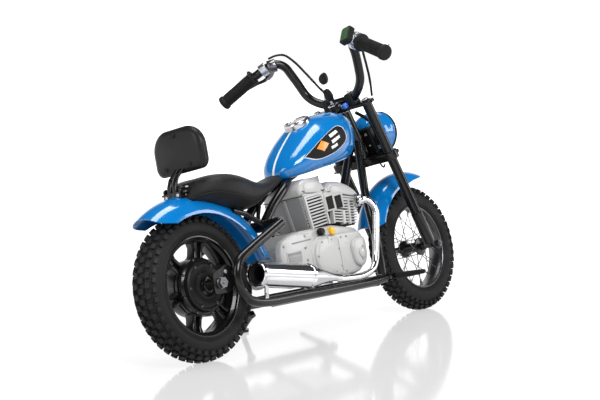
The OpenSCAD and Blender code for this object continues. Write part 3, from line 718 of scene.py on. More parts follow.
def tank():
    levels = [(0, -2, 238, 46), (2.5, -14, 250, 56), (8, -20, 260, 65), (18, -21, 270, 73),
              (31, -15, 279, 78.5), (48, 1, 283, 81), (66, 23, 284, 80.5), (84, 51, 282, 76),
              (98, 74, 277, 68), (109, 93, 266, 57), (117, 110, 252, 44), (122.5, 124, 240, 31),
              (126, 140, 226, 17), (127.3, 156, 210, 6)]
    rings = []
    for b, rear, front, w in levels:
        ring = []
        mid = rear + (front - rear) * 0.46
        for t in circle(64):
            c, s = math.cos(t), math.sin(t)
            n = 2.15 if c > 0 else 2.55
            shape = (abs(c) ** n + abs(s) ** n) ** (-1 / n)
            reach = front - mid if c > 0 else mid - rear
            ring.append(tank_point(mid + reach * c * shape, w * s * shape, b))
        rings.append(ring)
    body = piece("tank_look", loft(rings), "tank", node="fuel_tank", angle=80, subdivide=1)
    decal(body)
    cap_place = pose((433, 0, 503), (-math.sin(math.radians(20)), 0, math.cos(math.radians(20))))
    ring = [(24.5, 2), (25, 7), (27, 8.6), (30, 8.4), (32.5, 6), (34, 1), (34, -8), (24.5, -8)]
    piece("tank_cap_look", ring_of(ring, 64).moved(cap_place), "steel", node="tank_cap")
    disc = [(0.01, 7.6), (8, 7.5), (16, 7.0), (22, 6.2), (24.6, 5.2), (24.6, -6), (0.01, -6)]
    piece("tank_cap_disc", lathe(disc, 48).moved(cap_place), "cap_grey")


def tree_of(obj):
    bpy.context.view_layer.update()
    depsgraph = bpy.context.evaluated_depsgraph_get()
    return BVHTree.FromObject(obj, depsgraph)


def lay_on(tree, outline, lift, step=3.0, sign=-1):
    """A thin patch of a flat outline, laid from the side onto a surface."""
    work = bmesh.new()
    verts = [work.verts.new((x * MM, 0, z * MM)) for x, z in outline]
    work.faces.new(verts)
    lo, hi = np.min(outline, 0), np.max(outline, 0)
    for axis in (0, 1):
        for c in np.arange(lo[axis] + step, hi[axis], step):
            at = (c * MM, 0, 0) if axis == 0 else (0, 0, c * MM)
            normal = (1, 0, 0) if axis == 0 else (0, 0, 1)
            geom = work.verts[:] + work.edges[:] + work.faces[:]
            bmesh.ops.bisect_plane(work, geom=geom, plane_co=at, plane_no=normal)
    for v in work.verts:
        hit = tree.ray_cast(Vector((v.co.x, sign * 0.3, v.co.z)), Vector((0, -sign, 0)))
        if hit[0] is not None:
            v.co = hit[0] + hit[1] * lift * MM * (1 if hit[1].y * sign > 0 else -1)
    work.verts.ensure_lookup_table()
    index = {v: i for i, v in enumerate(work.verts)}
    points = [tuple(np.array(v.co) / MM) for v in work.verts]
    faces = [tuple(index[v] for v in f.verts) for f in work.faces]
    work.free()
    return Shape(points, faces)


def teardrop(scale=1.0):
    """The side badge: a drop with its tip low at the rear, about its own centre."""
    tip, top, nose, low = (362, 411), (492, 480), (514, 450), (432, 409)
    curve = smooth_path([(x, 0, z) for x, z in (tip, (420, 450), top, (509, 473), nose, (484, 427), low,
                                                 (392, 404), tip)], 5)
    centre = np.array([446, 444])
    return [tuple(centre + (np.array([p[0], p[2]]) - centre) * scale) for p in curve[:-1]]


def decal(body):
    tree = tree_of(body)
    for sign, name in SIDES:
        parts = [("rim", teardrop(1.025), "white", 0.25), ("field", teardrop(0.985), "matt_black", 0.55)]
        flag = [(398, 428), (420, 421), (440, 438), (418, 446)]
        stripes = [[(446, 458), (478, 470), (482, 464), (450, 451)], [(450, 444), (484, 457), (486, 451),
                                                                      (454, 437)]]
        flash = [[(446, 430), (470, 438), (473, 432), (449, 424)]]
        parts.append(("emblem", flag, "orange", 0.85))
        parts += [(f"bar_{i}", s, "white", 0.85) for i, s in enumerate(stripes + flash)]
        for part, outline, key, lift in parts:
            shape = lay_on(tree, outline, lift, sign=sign)
            piece(f"badge_{part}_{name}", shape, key, angle=80)


# ---- Seat ----
SEAT_TOP = [(-4, 352, 338, 26), (0, 366, 336, 42), (9, 379, 336, 55), (24, 388.5, 336, 67),
            (48, 395, 332, 78), (77, 398, 322, 85), (108, 397.5, 314, 85), (139, 393, 309, 79),
            (169, 384.5, 308, 70), (199, 375, 313, 59), (230, 369, 326, 49), (258, 370, 341, 43),
            (285, 377, 354, 37), (303, 383, 362, 32), (313, 383, 368, 24), (318, 379, 372, 12)]


def seat():
    """Superellipse sections along the bike: a crowned top, full sides and a tucked-in lower edge."""
    rings = []
    for x, top, low, w in SEAT_TOP:
        mid = low + (top - low) * 0.52
        ring = []
        n = 2.5
        for t in circle(48):
            c, s = math.cos(t), math.sin(t)
            k = (abs(c) ** n + abs(s) ** n) ** (-1 / n)
            reach = (top - mid) if s > 0 else (mid - low)
            y = w * c * k
            dish = 3.2 * math.exp(-(y / (w * 0.45)) ** 2) if s > 0 and 20 < x < 240 else 0
            ring.append((x, y, mid + reach * s * k - dish * (s > 0)))
        rings.append(ring)
    cushion = piece("seat_look", loft(rings), "leather", node="seat_cushion", angle=80, subdivide=2)
    # Piping along the lower edge
    for sign, name in SIDES:
        edge = [(x, sign * w * 0.985, low + (top - low) * 0.30) for x, top, low, w in SEAT_TOP[1:-1]]
        welt = sweep(smooth_path(edge, 6), 1.5, 8)
        piece(f"seat_piping_{name}", welt, "leather", angle=80)


def back_outline(grow=0.0):
    """The backrest seen from behind: wide round shoulders and a narrower round foot."""
    pts = []
    for cy, cz, r, a0, a1 in ((30, 458, 46, -2, 88), (-30, 458, 46, 92, 182), (-54, 428, 22, 188, 264),
                              (54, 428, 22, 276, 352)):
        for a in np.radians(np.linspace(a0, a1, 11)):
            pts.append((cy + (r + grow) * math.cos(a), cz + (r + grow) * math.sin(a)))
    return pts


def shoulder(outline, low, high, edge, crown, steps=6):
    """A shell of an outline with a broad round edge and a crowned face."""
    pts = np.array(outline, float)
    centre = pts.mean(0)
    size = np.abs(pts - centre).max()

    def ring(scale, height):
        return np.column_stack([centre + (pts - centre) * scale, np.full(len(pts), height)])

    rings = [ring(1, low)]
    for a in np.linspace(0, math.pi / 2, steps + 1):
        rings.append(ring(1 - edge * (1 - math.cos(a)) / size, high - edge * 0.7 * (1 - math.sin(a))))
    face_steps = 7
    for t in np.arange(1, face_steps) / face_steps:
        rings.append(ring((1 - edge / size) * (1 - t), high + crown * (1 - (1 - t) ** 2)))
    rings.append(ring(0.02, high + crown))
    return loft(rings)


def backrest():
    rearward = pose((26, 0, 0), (-1, 0, 0), (0, -1, 0))
    shell = shoulder(back_outline(), 0, 9.5, 19, 3.5)
    piece("backrest_shell_look", shell.moved(rearward), "shell", node="backrest_shell", angle=50)
    holes = []
    for y, z in ((0, 489), (37, 421), (-37, 421)):
        well = lathe([(0.01, 0.6), (3.4, 0.6), (3.6, 1.1), (4.6, 1.1), (5.0, 0.5), (5.0, -2), (0.01, -2)],
                     20)
        holes.append(well.moved(pose((13.6 if z > 450 else 14.6, y, z), (-1, 0, 0))))
    # Painted shade: the screw wells are near-black discs in the holes
    piece("backrest_screw_wells", join(holes), "painted_shade", angle=32)
    forward = pose((26, 0, 0), (1, 0, 0), (0, 1, 0))
    pad = shoulder(back_outline(-0.5), 0, 20, 18, 6)
    cushion = piece("backrest_pad_look", pad.moved(forward), "leather", node="backrest_pad", angle=70,
                    subdivide=1)
    # Two flat bars behind the seat, bent forward into the backrest, on a folded plate
    bars = []
    for y in (-8, 8):
        path = ((-13, 352, 8), (-12, 378, 8), (-3, 396, 8), (14, 410, 8), (27, 424, 8), (29, 500, 5))
        rings = [[(x + v, y + u, z) for u, v in rounded_rect(11, d, 2, 3)] for x, z, d in path]
        bars.append(loft(rings))
    plate = prism(rounded_outline([(-17, 348), (26, 348), (26, 362), (-8, 378), (-17, 374)], 4), -1.5, 1.5)
    plates = [plate.moved(side(y=s * 24)) for s in (-1, 1)]
    shape = join(bars) + join(plates) + block((-16, -24, 350), (-9, 24, 366))
    piece("backrest_bracket", shape, "frame", node="backrest_post", angle=40, bevel=0.8)
    bolts = [bolt((-16, y, 358), (-1, 0, 0), 4.2, 3) for y in (-18, 18)]
    bolts += [bolt((x, s * 25.5, 357), (0, s, 0), 4.2, 3) for x in (2, 18) for s in (-1, 1)]
    piece("backrest_bracket_bolts", join(bolts), "zinc")


# ---- Engine (a moulded shell) ----
def lean_frame(x, z, degrees):
    a = math.radians(degrees)
    return pose((x, 0, z), (math.sin(a), 0, math.cos(a)), (math.cos(a), 0, -math.sin(a)))


def rear_cylinder():
    place = lean_frame(380, 248, -7)
    # Painted shade: the core between the fins is near-black
    piece("rear_cylinder_core", prism(rounded_rect(58, 112, 8), -2, 76).moved(place), "painted_shade",
          node="rear_cylinder", angle=40)
    fins = []
    for share in np.linspace(0, 1, 10):
        # The lower fins are a little smaller
        f = 1 - 0.12 * (1 - share)
        z = 2 + 66 * share
        fins.append(prism(rounded_rect(70 * f, 123 * (0.93 + 0.07 * f), 6, 4), z, z + 3.6))
    piece("rear_cylinder_fins", join(fins).moved(place), "silver", angle=40, bevel=0.6)
    trims = []
    for sign in (-1, 1):
        # Corner bars hold the fins front and back
        for a0, a1, out in ((-36, -29, 63), (27, 34, 62.5)):
            low = [(a0 + 4, sign * (out - 9), -1), (a1 + 3, sign * (out - 9), -1),
                   (a1 + 3, sign * (out - 1), -1), (a0 + 4, sign * (out - 1), -1)]
            high = [(a0, sign * (out - 9), 78), (a1, sign * (out - 9), 78), (a1, sign * out, 78),
                    (a0, sign * out, 78)]
            trims.append(loft([low, high]))
    trims.append(prism(rounded_rect(73, 125, 7, 4), 72.5, 79))
    piece("rear_cylinder_frame", join(trims).moved(place), "silver", angle=40, bevel=1.4)
    back = []
    for y0, y1 in ((-52, -7), (1, 40)):
        low = [(-31.5, y0 + 3, -1), (-27, y0 + 3, -1), (-27, y1, -1), (-31.5, y1, -1)]
        high = [(-38.5, y0, 77), (-30, y0, 77), (-30, y1, 77), (-38.5, y1, 77)]
        back.append(loft([low, high]))
    piece("rear_cylinder_panel", join(back).moved(place), "grey", angle=40, bevel=2)
    teeth = [block((-38, 41, 4 + 7.6 * k), (-30, 60, 7.4 + 7.6 * k)) for k in range(10)]
    piece("rear_cylinder_teeth", join(teeth).moved(place), "silver_dim", angle=40, bevel=0.6)
    ridge = loft([[(-33.5, -8, -1), (-26, -8, -1), (-26, 2, -1), (-33.5, 2, -1)],
                  [(-41, -7, 78), (-30, -7, 78), (-30, 1, 78), (-41, 1, 78)]])
    piece("rear_cylinder_ridge", ridge.moved(place), "silver_dim", angle=40, bevel=1.5)


def front_cylinder():
    place = lean_frame(477, 246, 7)
    # Painted shade: the core between the fins is near-black
    piece("front_cylinder_core", prism(rounded_rect(88, 110, 8, 4, -2), 0, 58).moved(place), "painted_shade",
          node="front_cylinder", angle=40)
    plates = []
    for share in np.linspace(0, 1, 9):
        z = 3 + 53.6 * share
        reach = 41 + 13 * share ** 0.8
        plates.append(prism(rounded_rect(46 + reach, 122, 6, 4, (reach - 46) / 2), z, z + 3.2))
    piece("front_cylinder_fins", join(plates).moved(place), "silver", angle=40, bevel=0.6)
    trims = []
    for sign in (-1, 1):
        for a0, a1, z0, z1, out in ((-50, -44, -1, 62, 63), (-14, -4, -1, 32, 62.6), (10, 17, 0, 60, 62.3)):
            trims.append(block((a0, min(sign * 50, sign * out), z0), (a1, max(sign * 50, sign * out), z1)))
    trims.append(loft([[(x, y, 56) for x, y in rounded_rect(104, 123, 8, 4, 2)],
                       [(x, y, 62) for x, y in rounded_rect(108, 123, 8, 4, 3)]]))
    piece("front_cylinder_frame", join(trims).moved(place), "silver", angle=40, bevel=1.4)


def vent_panels():
    """The air-box between the cylinders: a raised frame around two vents on each side, their openings
    painted near-black as shade behind the ribs.
    """
    place = side(y=-60)
    border = puffed(rounded_outline([(407, 279), (476, 286), (474, 322), (404, 326)], 3), -4, 4.5, 1.5, 2)
    dark = []
    ribs = []
    for x0 in (409.5, 441.5):
        corners = [(x0 + 3, 283.5), (x0 + 27, 286), (x0 + 24.5, 317), (x0, 313.5)]
        # Painted shade: a near-black patch fills each vent behind its ribs
        dark.append(puffed(rounded_outline(corners, 1.5), -2, 5.3, 0.6, 2))
        for k in range(6):
            z = 288 + 4.4 * k
            bar = [(x0 + 2.6, z), (x0 + 24.6, z + 2.3), (x0 + 24.6, z + 4.0), (x0 + 2.6, z + 1.7)]
            ribs.append(prism(bar, 4.5, 5.9))
    mirrored_pair("vent_frame", border.moved(place), "silver")
    mirrored_pair("vents", join(dark).moved(place), "painted_shade")
    mirrored_pair("vent_ribs", join(ribs).moved(place), "matt_black")


def mirrored_pair(name, shape, look, angle=35):
    """Two pieces of the frame: one on the right side and its mirror image on the left."""
    piece(name + "_right", shape, look, angle=angle)
    piece(name + "_left", shape.mirrored(), look, angle=angle)


def rocker_covers():
    rear = rounded_outline([(329, 324), (326, 338), (335, 352), (352, 364.5), (392, 363.5), (414, 352),
                            (424, 334), (421, 322)], [4, 8, 10, 12, 12, 12, 8, 4], 6)
    front = rounded_outline([(420, 318), (420, 338), (436, 352), (470, 351), (506, 341), (536, 323),
                             (549, 306), (541, 300), (480, 308)], [4, 10, 12, 20, 20, 16, 6, 4, 10], 6)
    shapes = []
    for outline in (rear, front):
        half = puffed(outline, 0, 61, 11, 5)
        shapes.append(both(half.moved(side())))
    piece("rocker_covers_look", join(shapes), "silver", node="rocker_covers")
    pads = []
    for outline in ([(340, 330), (402, 327), (400, 347), (386, 354), (352, 354), (342, 346)],
                    [(434, 321), (480, 317), (524, 309), (516, 322), (486, 337), (446, 341), (434, 334)]):
        pads.append(both(puffed(rounded_outline(outline, 7, 5), -3, 3, 2.2, 3).moved(side(y=-60.4))))
    piece("rocker_pads", join(pads), "silver")
    # Stepped lower lip over the fins
    lip = rod((332, -60.5, 324.5), (408, -60.5, 323.5), 2.4, 10)
    lip += rod((428, -60.5, 318), (542, -60.5, 303), 2.4, 10)
    mirrored_pair("rocker_lip", lip, "silver", 60)


def crankcase():
    core = rounded_outline([(262, 186), (268, 216), (300, 244), (420, 248), (507, 234), (523, 202),
                            (513, 146), (487, 127), (370, 117), (292, 129), (262, 150)], 9, 5)
    half = puffed(core, 0, 62, 7, 4).moved(side())
    piece("crankcase_core", both(half), "silver", node="crankcase")
    wing = rounded_outline([(208, 190), (216, 222), (262, 239), (331, 237), (331, 149), (262, 127),
                            (219, 147)], 10, 5)
    wing_shape = puffed(wing, 56, 73, 5, 4).moved(side())
    piece("crankcase_wings", both(wing_shape), "silver")
    panel = rounded_outline([(226, 168), (279, 171), (281, 203), (228, 201)], 4)
    inner = rounded_outline([(230, 172), (276, 174.5), (277.5, 199.5), (231.5, 197.5)], 3)
    shadow = rounded_outline([(230.5, 191), (276.5, 193.5), (277, 198.5), (231, 196.5)], 1.5)
    strip = rounded_outline([(252, 216), (320, 220), (320, 223.5), (252, 219.5)], 1.4)
    slats = [puffed(rounded_outline([(230.5, z), (276.5, z + 2.2), (276.5, z + 4.6), (230.5, z + 2.4)], 1),
                    74, 76.2, 0.6, 2) for z in (173, 179, 185)]
    dark = puffed(shadow, 74, 76.0, 0.4, 2) + puffed(strip, 72, 73.9, 0.5, 2)
    # Painted shade: the recess and its slats take the darker silver, and the grey strips named shadow are
    # painted shadow
    for name, shape, look in (("panel", puffed(panel, 72, 74.6, 1.2, 2), "silver"),
                              ("recess", puffed(inner, 73, 75.4, 0.5, 2), "silver_dim"),
                              ("slats", join(slats), "silver_dim"), ("shadow", dark, "grey")):
        mirrored_pair(f"case_{name}", shape.moved(side()), look)
    bolts = []
    for x, z in ((222, 156), (222, 214), (300, 231), (318, 158), (296, 176), (296, 204)):
        bolts += [bolt((x, s * 73, z), (0, s, 0), 3.2, 2.2) for s in (-1, 1)]
    piece("case_screws", join(bolts), "silver_dim")


def primary_cover():
    """The big side cover: a round end, a long flat bulge forward and a second dome."""
    outline = [(362 + 50 * math.cos(a), 176 + 50 * math.sin(a))
               for a in np.radians(np.linspace(100, 262, 22))]
    outline += [(380, 124.5), (430, 126), (478, 130), (500, 146), (511, 172), (513, 198), (503, 220),
                (494, 226), (440, 227), (390, 226)]
    outline = rounded_outline(outline, 5, 3)
    plate = puffed(outline, 60, 76, 6, 5).moved(side())
    disc = lathe([(0.01, 83.5), (20, 83.5), (38, 83), (42, 82.2), (45, 80.5), (46.5, 77.5), (47, 70),
                  (0.01, 70)], 72)
    disc = disc.moved(side(366, 176))
    long_plate = rounded_outline([(366, 222), (366, 131), (404, 131), (412, 150), (412, 205), (400, 222)],
                                 [2, 2, 12, 14, 16, 14], 6)
    raised = puffed(long_plate, 70, 83.2, 3.5, 4).moved(side())
    bulge_outline = rounded_outline([(452, 194), (468, 208), (503, 212), (508, 198), (507, 168),
                                     (497, 146), (478, 137), (458, 150)], [12, 12, 10, 8, 16, 14, 12, 16],
                                    6)
    bulge = puffed(bulge_outline, 70, 84.5, 8, 5).moved(side())
    boss = lathe([(0.01, 88), (9, 88), (12, 86.5), (12.5, 80), (0.01, 80)], 32)
    boss = boss.moved(side(484, 172))
    right_side = plate + disc + raised + bulge + boss
    piece("primary_cover_look", both(right_side), "silver", node="primary_cover")
    screws = []
    for a in np.radians([70, 120, 175, 235, 290]):
        screws.append((366 + 40 * math.cos(a), 82.6, 176 + 40 * math.sin(a)))
    screws += [(402, 83, 190), (402, 83, 150), (488, 85, 186), (480, 85, 158), (424, 76.2, 216),
               (424, 76.2, 136), (444, 76.2, 216)]
    shapes = [bolt((x, s * y, z), (0, s, 0), 2.5, 1.6) for x, y, z in screws for s in (-1, 1)]
    piece("primary_screws", join(shapes), "silver_dim")
    seam = sweep([(404, -83.3, 214), (404, -83.3, 138)], 0.8, 8)
    piece("primary_seam", both(seam), "silver_dim", angle=60)


def engine_fittings():
    teeth = [lathe([(0.01, 3), (1.2, 3), (1.2, 13),
                    (0.01, 13)], 6).moved(Matrix.Translation((8.2 * math.cos(a), 8.2 * math.sin(a), 0)))
             for a in np.radians(range(0, 360, 30))]
    cap = lathe([(0.01, 14.6), (5, 14.6), (7.4, 13.6), (8.3, 12), (8.3, 2), (9.5, 1.6), (9.5, 0),
                 (0.01, 0)], 36)
    place = side(392, 233, -70)
    piece("oil_cap_look", (cap + join(teeth)).moved(place), "yellow", node="oil_cap")
    collar = block((370, -77, 224), (410, -60, 238))
    piece("oil_cap_saddle", collar, "silver", angle=40, bevel=3)
    socket = lathe([(0.01, 5), (3.2, 5), (3.4, 9), (6.8, 9), (8.4, 7.6), (8.6, 0), (0.01, 0)], 32)
    place = side(363, 235.5, -66)
    lid = lathe([(0.01, 12.5), (5.8, 12.5), (7, 11.6), (7, 8.4), (0.01, 8.4)], 24)
    piece("charge_socket_look", (socket + lid).moved(place), "black_plastic", node="charge_socket")
    # A harness behind the case
    loom = smooth_path([(300, 20, 246), (272, 24, 262), (262, 22, 290), (270, 20, 318)], 4)
    piece("engine_loom", ribbed(loom, 4.6, 5.0, 60), "rubber", angle=60)


def ribbed(path, low, high, turns, sides=14):
    """Spiral-wrap tubing."""
    return sweep(path, lambda t: low if (t * turns) % 1 < 0.55 else high, sides)


# ---- Exhaust ----
def exhaust():
    pipe = smooth_path([(520, -72, 296), (533, -85, 295.5), (541, -94, 286), (543, -101, 264),
                        (536, -102, 238), (523, -102, 198), (509, -102, 156), (500, -102, 140),
                        (486, -102, 127), (466, -102, 121), (440, -102.2, 118), (400, -102.6, 119),
                        (345, -103, 122.5)], 5)
    piece("exhaust_pipe_look", sweep(pipe, 7.9, 24), "chrome", node="exhaust_pipe", angle=60)
    clamp = lathe([(8.2, -7), (12.5, -7), (13.5, -5.5), (13.5, 5.5), (12.5, 7), (8.2, 7)], 32)
    direction = unit(np.array([536, -82, 297.5]) - np.array([520, -72, 296]))
    clamp = clamp.moved(pose((523, -74, 296.2), direction))
    piece("exhaust_collar", clamp, "chrome")
    front = np.array([252, -105, 140.2])
    axis = np.array([84.0, -105, 165.4]) - front
    place = pose(front, axis)
    length = float(np.linalg.norm(axis))
    body = [(8.2, -110), (8.4, -100), (9.6, -84), (14, -60), (21, -30), (25.4, -10), (26.6, 0),
            (28.2, 0.6), (28.2, 6.4), (26.7, 7), (26.7, length - 16), (27.8, length - 14),
            (28, length - 12), (28, length - 3), (27.4, length - 0.8), (25.6, length - 0.1),
            (22.5, length - 2), (21.8, length - 8)]
    shell = lathe(body, 64).moved(place)
    piece("muffler_look", shell, "chrome", node="muffler", angle=28)
    tip = [(22.4, length - 3), (21.5, length - 5), (17, length - 6.5), (16, length - 8), (16, length - 38),
           (0.01, length - 38)]
    piece("muffler_inner", lathe(tip, 48).moved(place), "matt_black", angle=32)
    strap = loft([[(x, y, z) for x, y in ((x0, -106.5), (x1, -106.5), (x1, -103), (x0, -103))]
                  for x0, x1, z in ((99, 110, 110), (100, 111, 118), (106, 117, 142))])
    piece("muffler_bracket", strap, "chrome", angle=40, bevel=0.8)
    piece("muffler_bracket_screw", bolt((105, -106.6, 118), (0, -1, 0), 4.2, 3), "zinc", angle=32)


# ---- Fork, clamps and headlight ----
def fork():
    for sign, name in SIDES:
        y = sign * LEG_Y
        leg = lathe([(0.01, 88.6), (8.6, 88.6), (9.4, 87.6), (9.4, 86), (12.5, 86), (12.5, -229),
                     (13.2, -230), (14.5, -231.5), (14.5, -314), (13, -317.6), (0.01, -318)],
                    40).moved(head_frame(0, 0, y))
        outline = rounded_outline([(752, 210), (786, 196), (816, 172), (817, 150), (800, 146), (782, 156),
                                   (752, 196)], 6)
        plate = prism(outline, -4, 4).moved(side(y=y))
        piece(f"fork_{name}_look", leg, "frame", "steering", f"fork_leg_{name}")
        piece(f"dropout_{name}_look", plate, "frame", "steering", angle=40, bevel=1)
        cap = lathe([(0.01, 92.5), (5.5, 92.3), (8, 91), (8.6, 89), (0.01, 89)],
                    32).moved(head_frame(0, 0, y))
        piece(f"fork_cap_{name}", cap, "steel", "steering")
    # Both clamps are yokes round the stem and the legs; the lower one is the thicker

    def yoke(front, thick):
        ends = np.radians(np.linspace(-100, 100, 15))
        left = [(-21 * math.sin(a) * 0.95, LEG_Y + 21 * math.cos(a)) for a in ends]
        right = [(x, -y) for x, y in left[::-1]]
        rear = [(-20, 40), (-24, 0), (-20, -40)]
        return puffed(left + rear + right + [(front, -36), (front, 36)], 0, thick, 2, 2)

    for name, s, front, thick in (("lower_clamp", -76, 24, 20), ("upper_clamp", 78, 20, 7)):
        piece(f"{name}_look", yoke(front, thick).moved(head_frame(s)), "frame", "steering", name)
    studs = []
    for sign in (-1, 1):
        studs.append(bolt(along(-66, 18, sign * 89), HEAD_FORWARD, 5.5, 5))
        studs.append(bolt(along(-66, 20, sign * 60), HEAD_FORWARD, 4, 4))
    piece("clamp_bolts", join(studs), "matt_black", "steering")
    nut = hex_nut(along(85), HEAD_UP, 12, 8)
    piece("stem_nut", nut, "chrome", "steering", angle=30)
    bends = ((-78, 12), (-92, 14), (-100, 20), (-96, 28))
    hook = smooth_path([along(s, forward, -30) for s, forward in bends], 3)
    piece("cable_hook", sweep(hook, 2.2, 10), "frame", "steering", angle=60)


def headlight():
    place = pose((722, 0, 468), (1, 0, 0), (0, 0, 1))
    bowl = [(5.5, -52.7)] + [(53 * math.cos(a), 53 * math.sin(a))
                             for a in np.radians(np.linspace(-80, 0, 18))]
    bowl += [(53.2, 12), (53.6, 22), (54.6, 24), (54.6, 26), (50, 26), (49.5, 20)]
    bowl += [(50 * math.cos(a), 50 * math.sin(a)) for a in np.radians(np.linspace(0, -80, 12))]
    piece("headlight_bucket_look", lathe(bowl, 72).moved(place), "blue", "steering", "headlight_bucket",
          angle=40)
    ring = [(47, 27), (50, 26.4), (55, 26.6), (56.2, 28), (56.2, 32), (54.6, 34.4), (51, 35.2), (48.5, 34),
            (47, 31)]
    piece("headlight_ring", ring_of(ring, 72).moved(place), "black_plastic", "steering", "headlight_lens")
    reflector = [(47, 29)] + [(46.5 * math.sin(a), 29 - 16 * math.cos(a))
                              for a in np.radians([75, 60, 45, 30, 15])]
    reflector += [(8, 12.5), (0.01, 12.5)]
    piece("headlight_reflector", lathe(reflector, 64).moved(place), "chrome", "steering", angle=40)
    lens = [(0.01, 34), (15, 33.6), (30, 32.4), (40, 31), (46.8, 29.4), (46.8, 27.6), (30, 30),
            (0.01, 31.8)]
    piece("headlight_glass", lathe(lens, 64).moved(place), "glass", "steering", angle=50)
    bars = []
    for k in range(-5, 6):
        y = 8 * k
        reach = math.sqrt(max(0, 45 ** 2 - y ** 2))
        bars.append(sweep([(756.2 - 0.0014 * (y * y + s * s), y, 468 + s)
                           for s in np.linspace(-reach, reach, 9)], 0.9, 6))
    piece("headlight_flutes", join(bars), "glass", "steering", angle=60)
    bulb = lathe([(0.01, 30), (4, 28), (6, 24), (6, 13), (0.01, 13)], 24).moved(place)
    piece("headlight_bulb", bulb, "white", "steering", angle=50)
    outline = rounded_outline([(8, 55.9), (26, 55.9), (48, 38), (46, 16), (34, 12), (18, 26)], 4)
    cheeks = []
    for s in (-1, 1):
        flat = prism([(n, -u) for n, u in outline], s * 55.75 - 1.75, s * 55.75 + 1.75)
        cheeks.append(flat.moved(pose(HEAD, (0, -1, 0), HEAD_FORWARD)))
    piece("headlight_cheeks", join(cheeks), "frame", "steering", "headlight_bracket", angle=40, bevel=0.8)
    shelf = puffed(rounded_rect(10, 117, 3, 4, 22), -56, -51.6, 1, 2).moved(head_frame(0))
    piece("headlight_shelf", shelf, "frame", "steering", angle=40)
    # Box of wiring and its two screws, between the fork legs behind the lamp
    box_shape = puffed(rounded_rect(30, 74, 7, 5, 32, 0), -50, 10, 4, 4).moved(head_frame(0))
    piece("wiring_box", box_shape, "black_plastic", "steering")
    screws = [bolt(along(s, 17, y), -HEAD_FORWARD, 4.4, 3.4) for s in (-4, -34) for y in (-22, 22)]
    piece("wiring_box_screws", join(screws), "chrome", "steering")
    loom = smooth_path([along(60, 16, -22), along(30, 26, -40), along(0, 26, -46), along(-40, 22, -42)], 3)
    piece("headlight_loom", ribbed(loom, 3.6, 4.4, 34), "matt_black", "steering", angle=60)


# ---- Bars and controls ----
BAR = [(617, 37, 553), (611, 53, 559), (602, 76, 574), (596, 89, 591), (587, 97, 616), (573, 106, 649),
       (560, 111.5, 670), (544, 123, 680), (527, 144, 675), (513, 169, 662), (509, 175, 659),
       (494, 212, 638), (476, 261, 612)]
GRIP_IN = np.array([509.0, 175, 659])
GRIP_OUT = np.array([476.0, 261, 612])


def flip_y(p):
    return np.array(p, float) * [1, -1, 1]


def bars():
    half = smooth_path([(618, 0, 553), (618, 20, 553)] + BAR, 5)
    shape = sweep(half, 11, 24)
    piece("handlebar_look", both(shape), "frame", "steering", "handlebar", angle=60)
    tops = []
    risers = []
    for sign in (-1, 1):
        for x in (-13, 13):
            top = np.array([618 + x * math.cos(RAKE), sign * 37, 568]) + HEAD_UP * 2
            tops.append(bolt(top, HEAD_UP, 3.6, 4))
        riser = puffed(rounded_rect(34, 24, 6, 4), -18, 17, 5, 4)
        risers.append(riser.moved(pose((617, sign * 37, 553), HEAD_UP, HEAD_FORWARD)))
    piece("bar_risers", join(risers), "black_plastic", "steering", "bar_clamps")
    piece("bar_riser_screws", join(tops), "chrome", "steering")
    for name, sign, body, node in (("left", 1, "steering", "left_grip"),
                                   ("right", -1, "throttle", "throttle_grip")):
        a, b = GRIP_IN * [1, sign, 1], GRIP_OUT * [1, sign, 1]
        length = float(np.linalg.norm(b - a))
        profile = [(11.15, 0.6), (20, 0.6), (21.5, 2), (21.5, 4.5), (19.5, 6.5), (16.0, 8)]
        count = 17
        w = (length - 20) / count
        for k in range(count):
            h = 10 + w * k
            profile += [(16.4, h + 0.15 * w), (16.4, h + 0.6 * w), (15.1, h + 0.7 * w),
                        (15.1, h + 0.95 * w)]
        profile += [(16.6, length - 8), (18.6, length - 5), (18.4, length + 2), (15, length + 5),
                    (0.01, length + 5.8)]
        grip = lathe(profile, 40).moved(pose(a, b - a))
        piece(f"grip_{name}", grip, "rubber", body, node, angle=30)


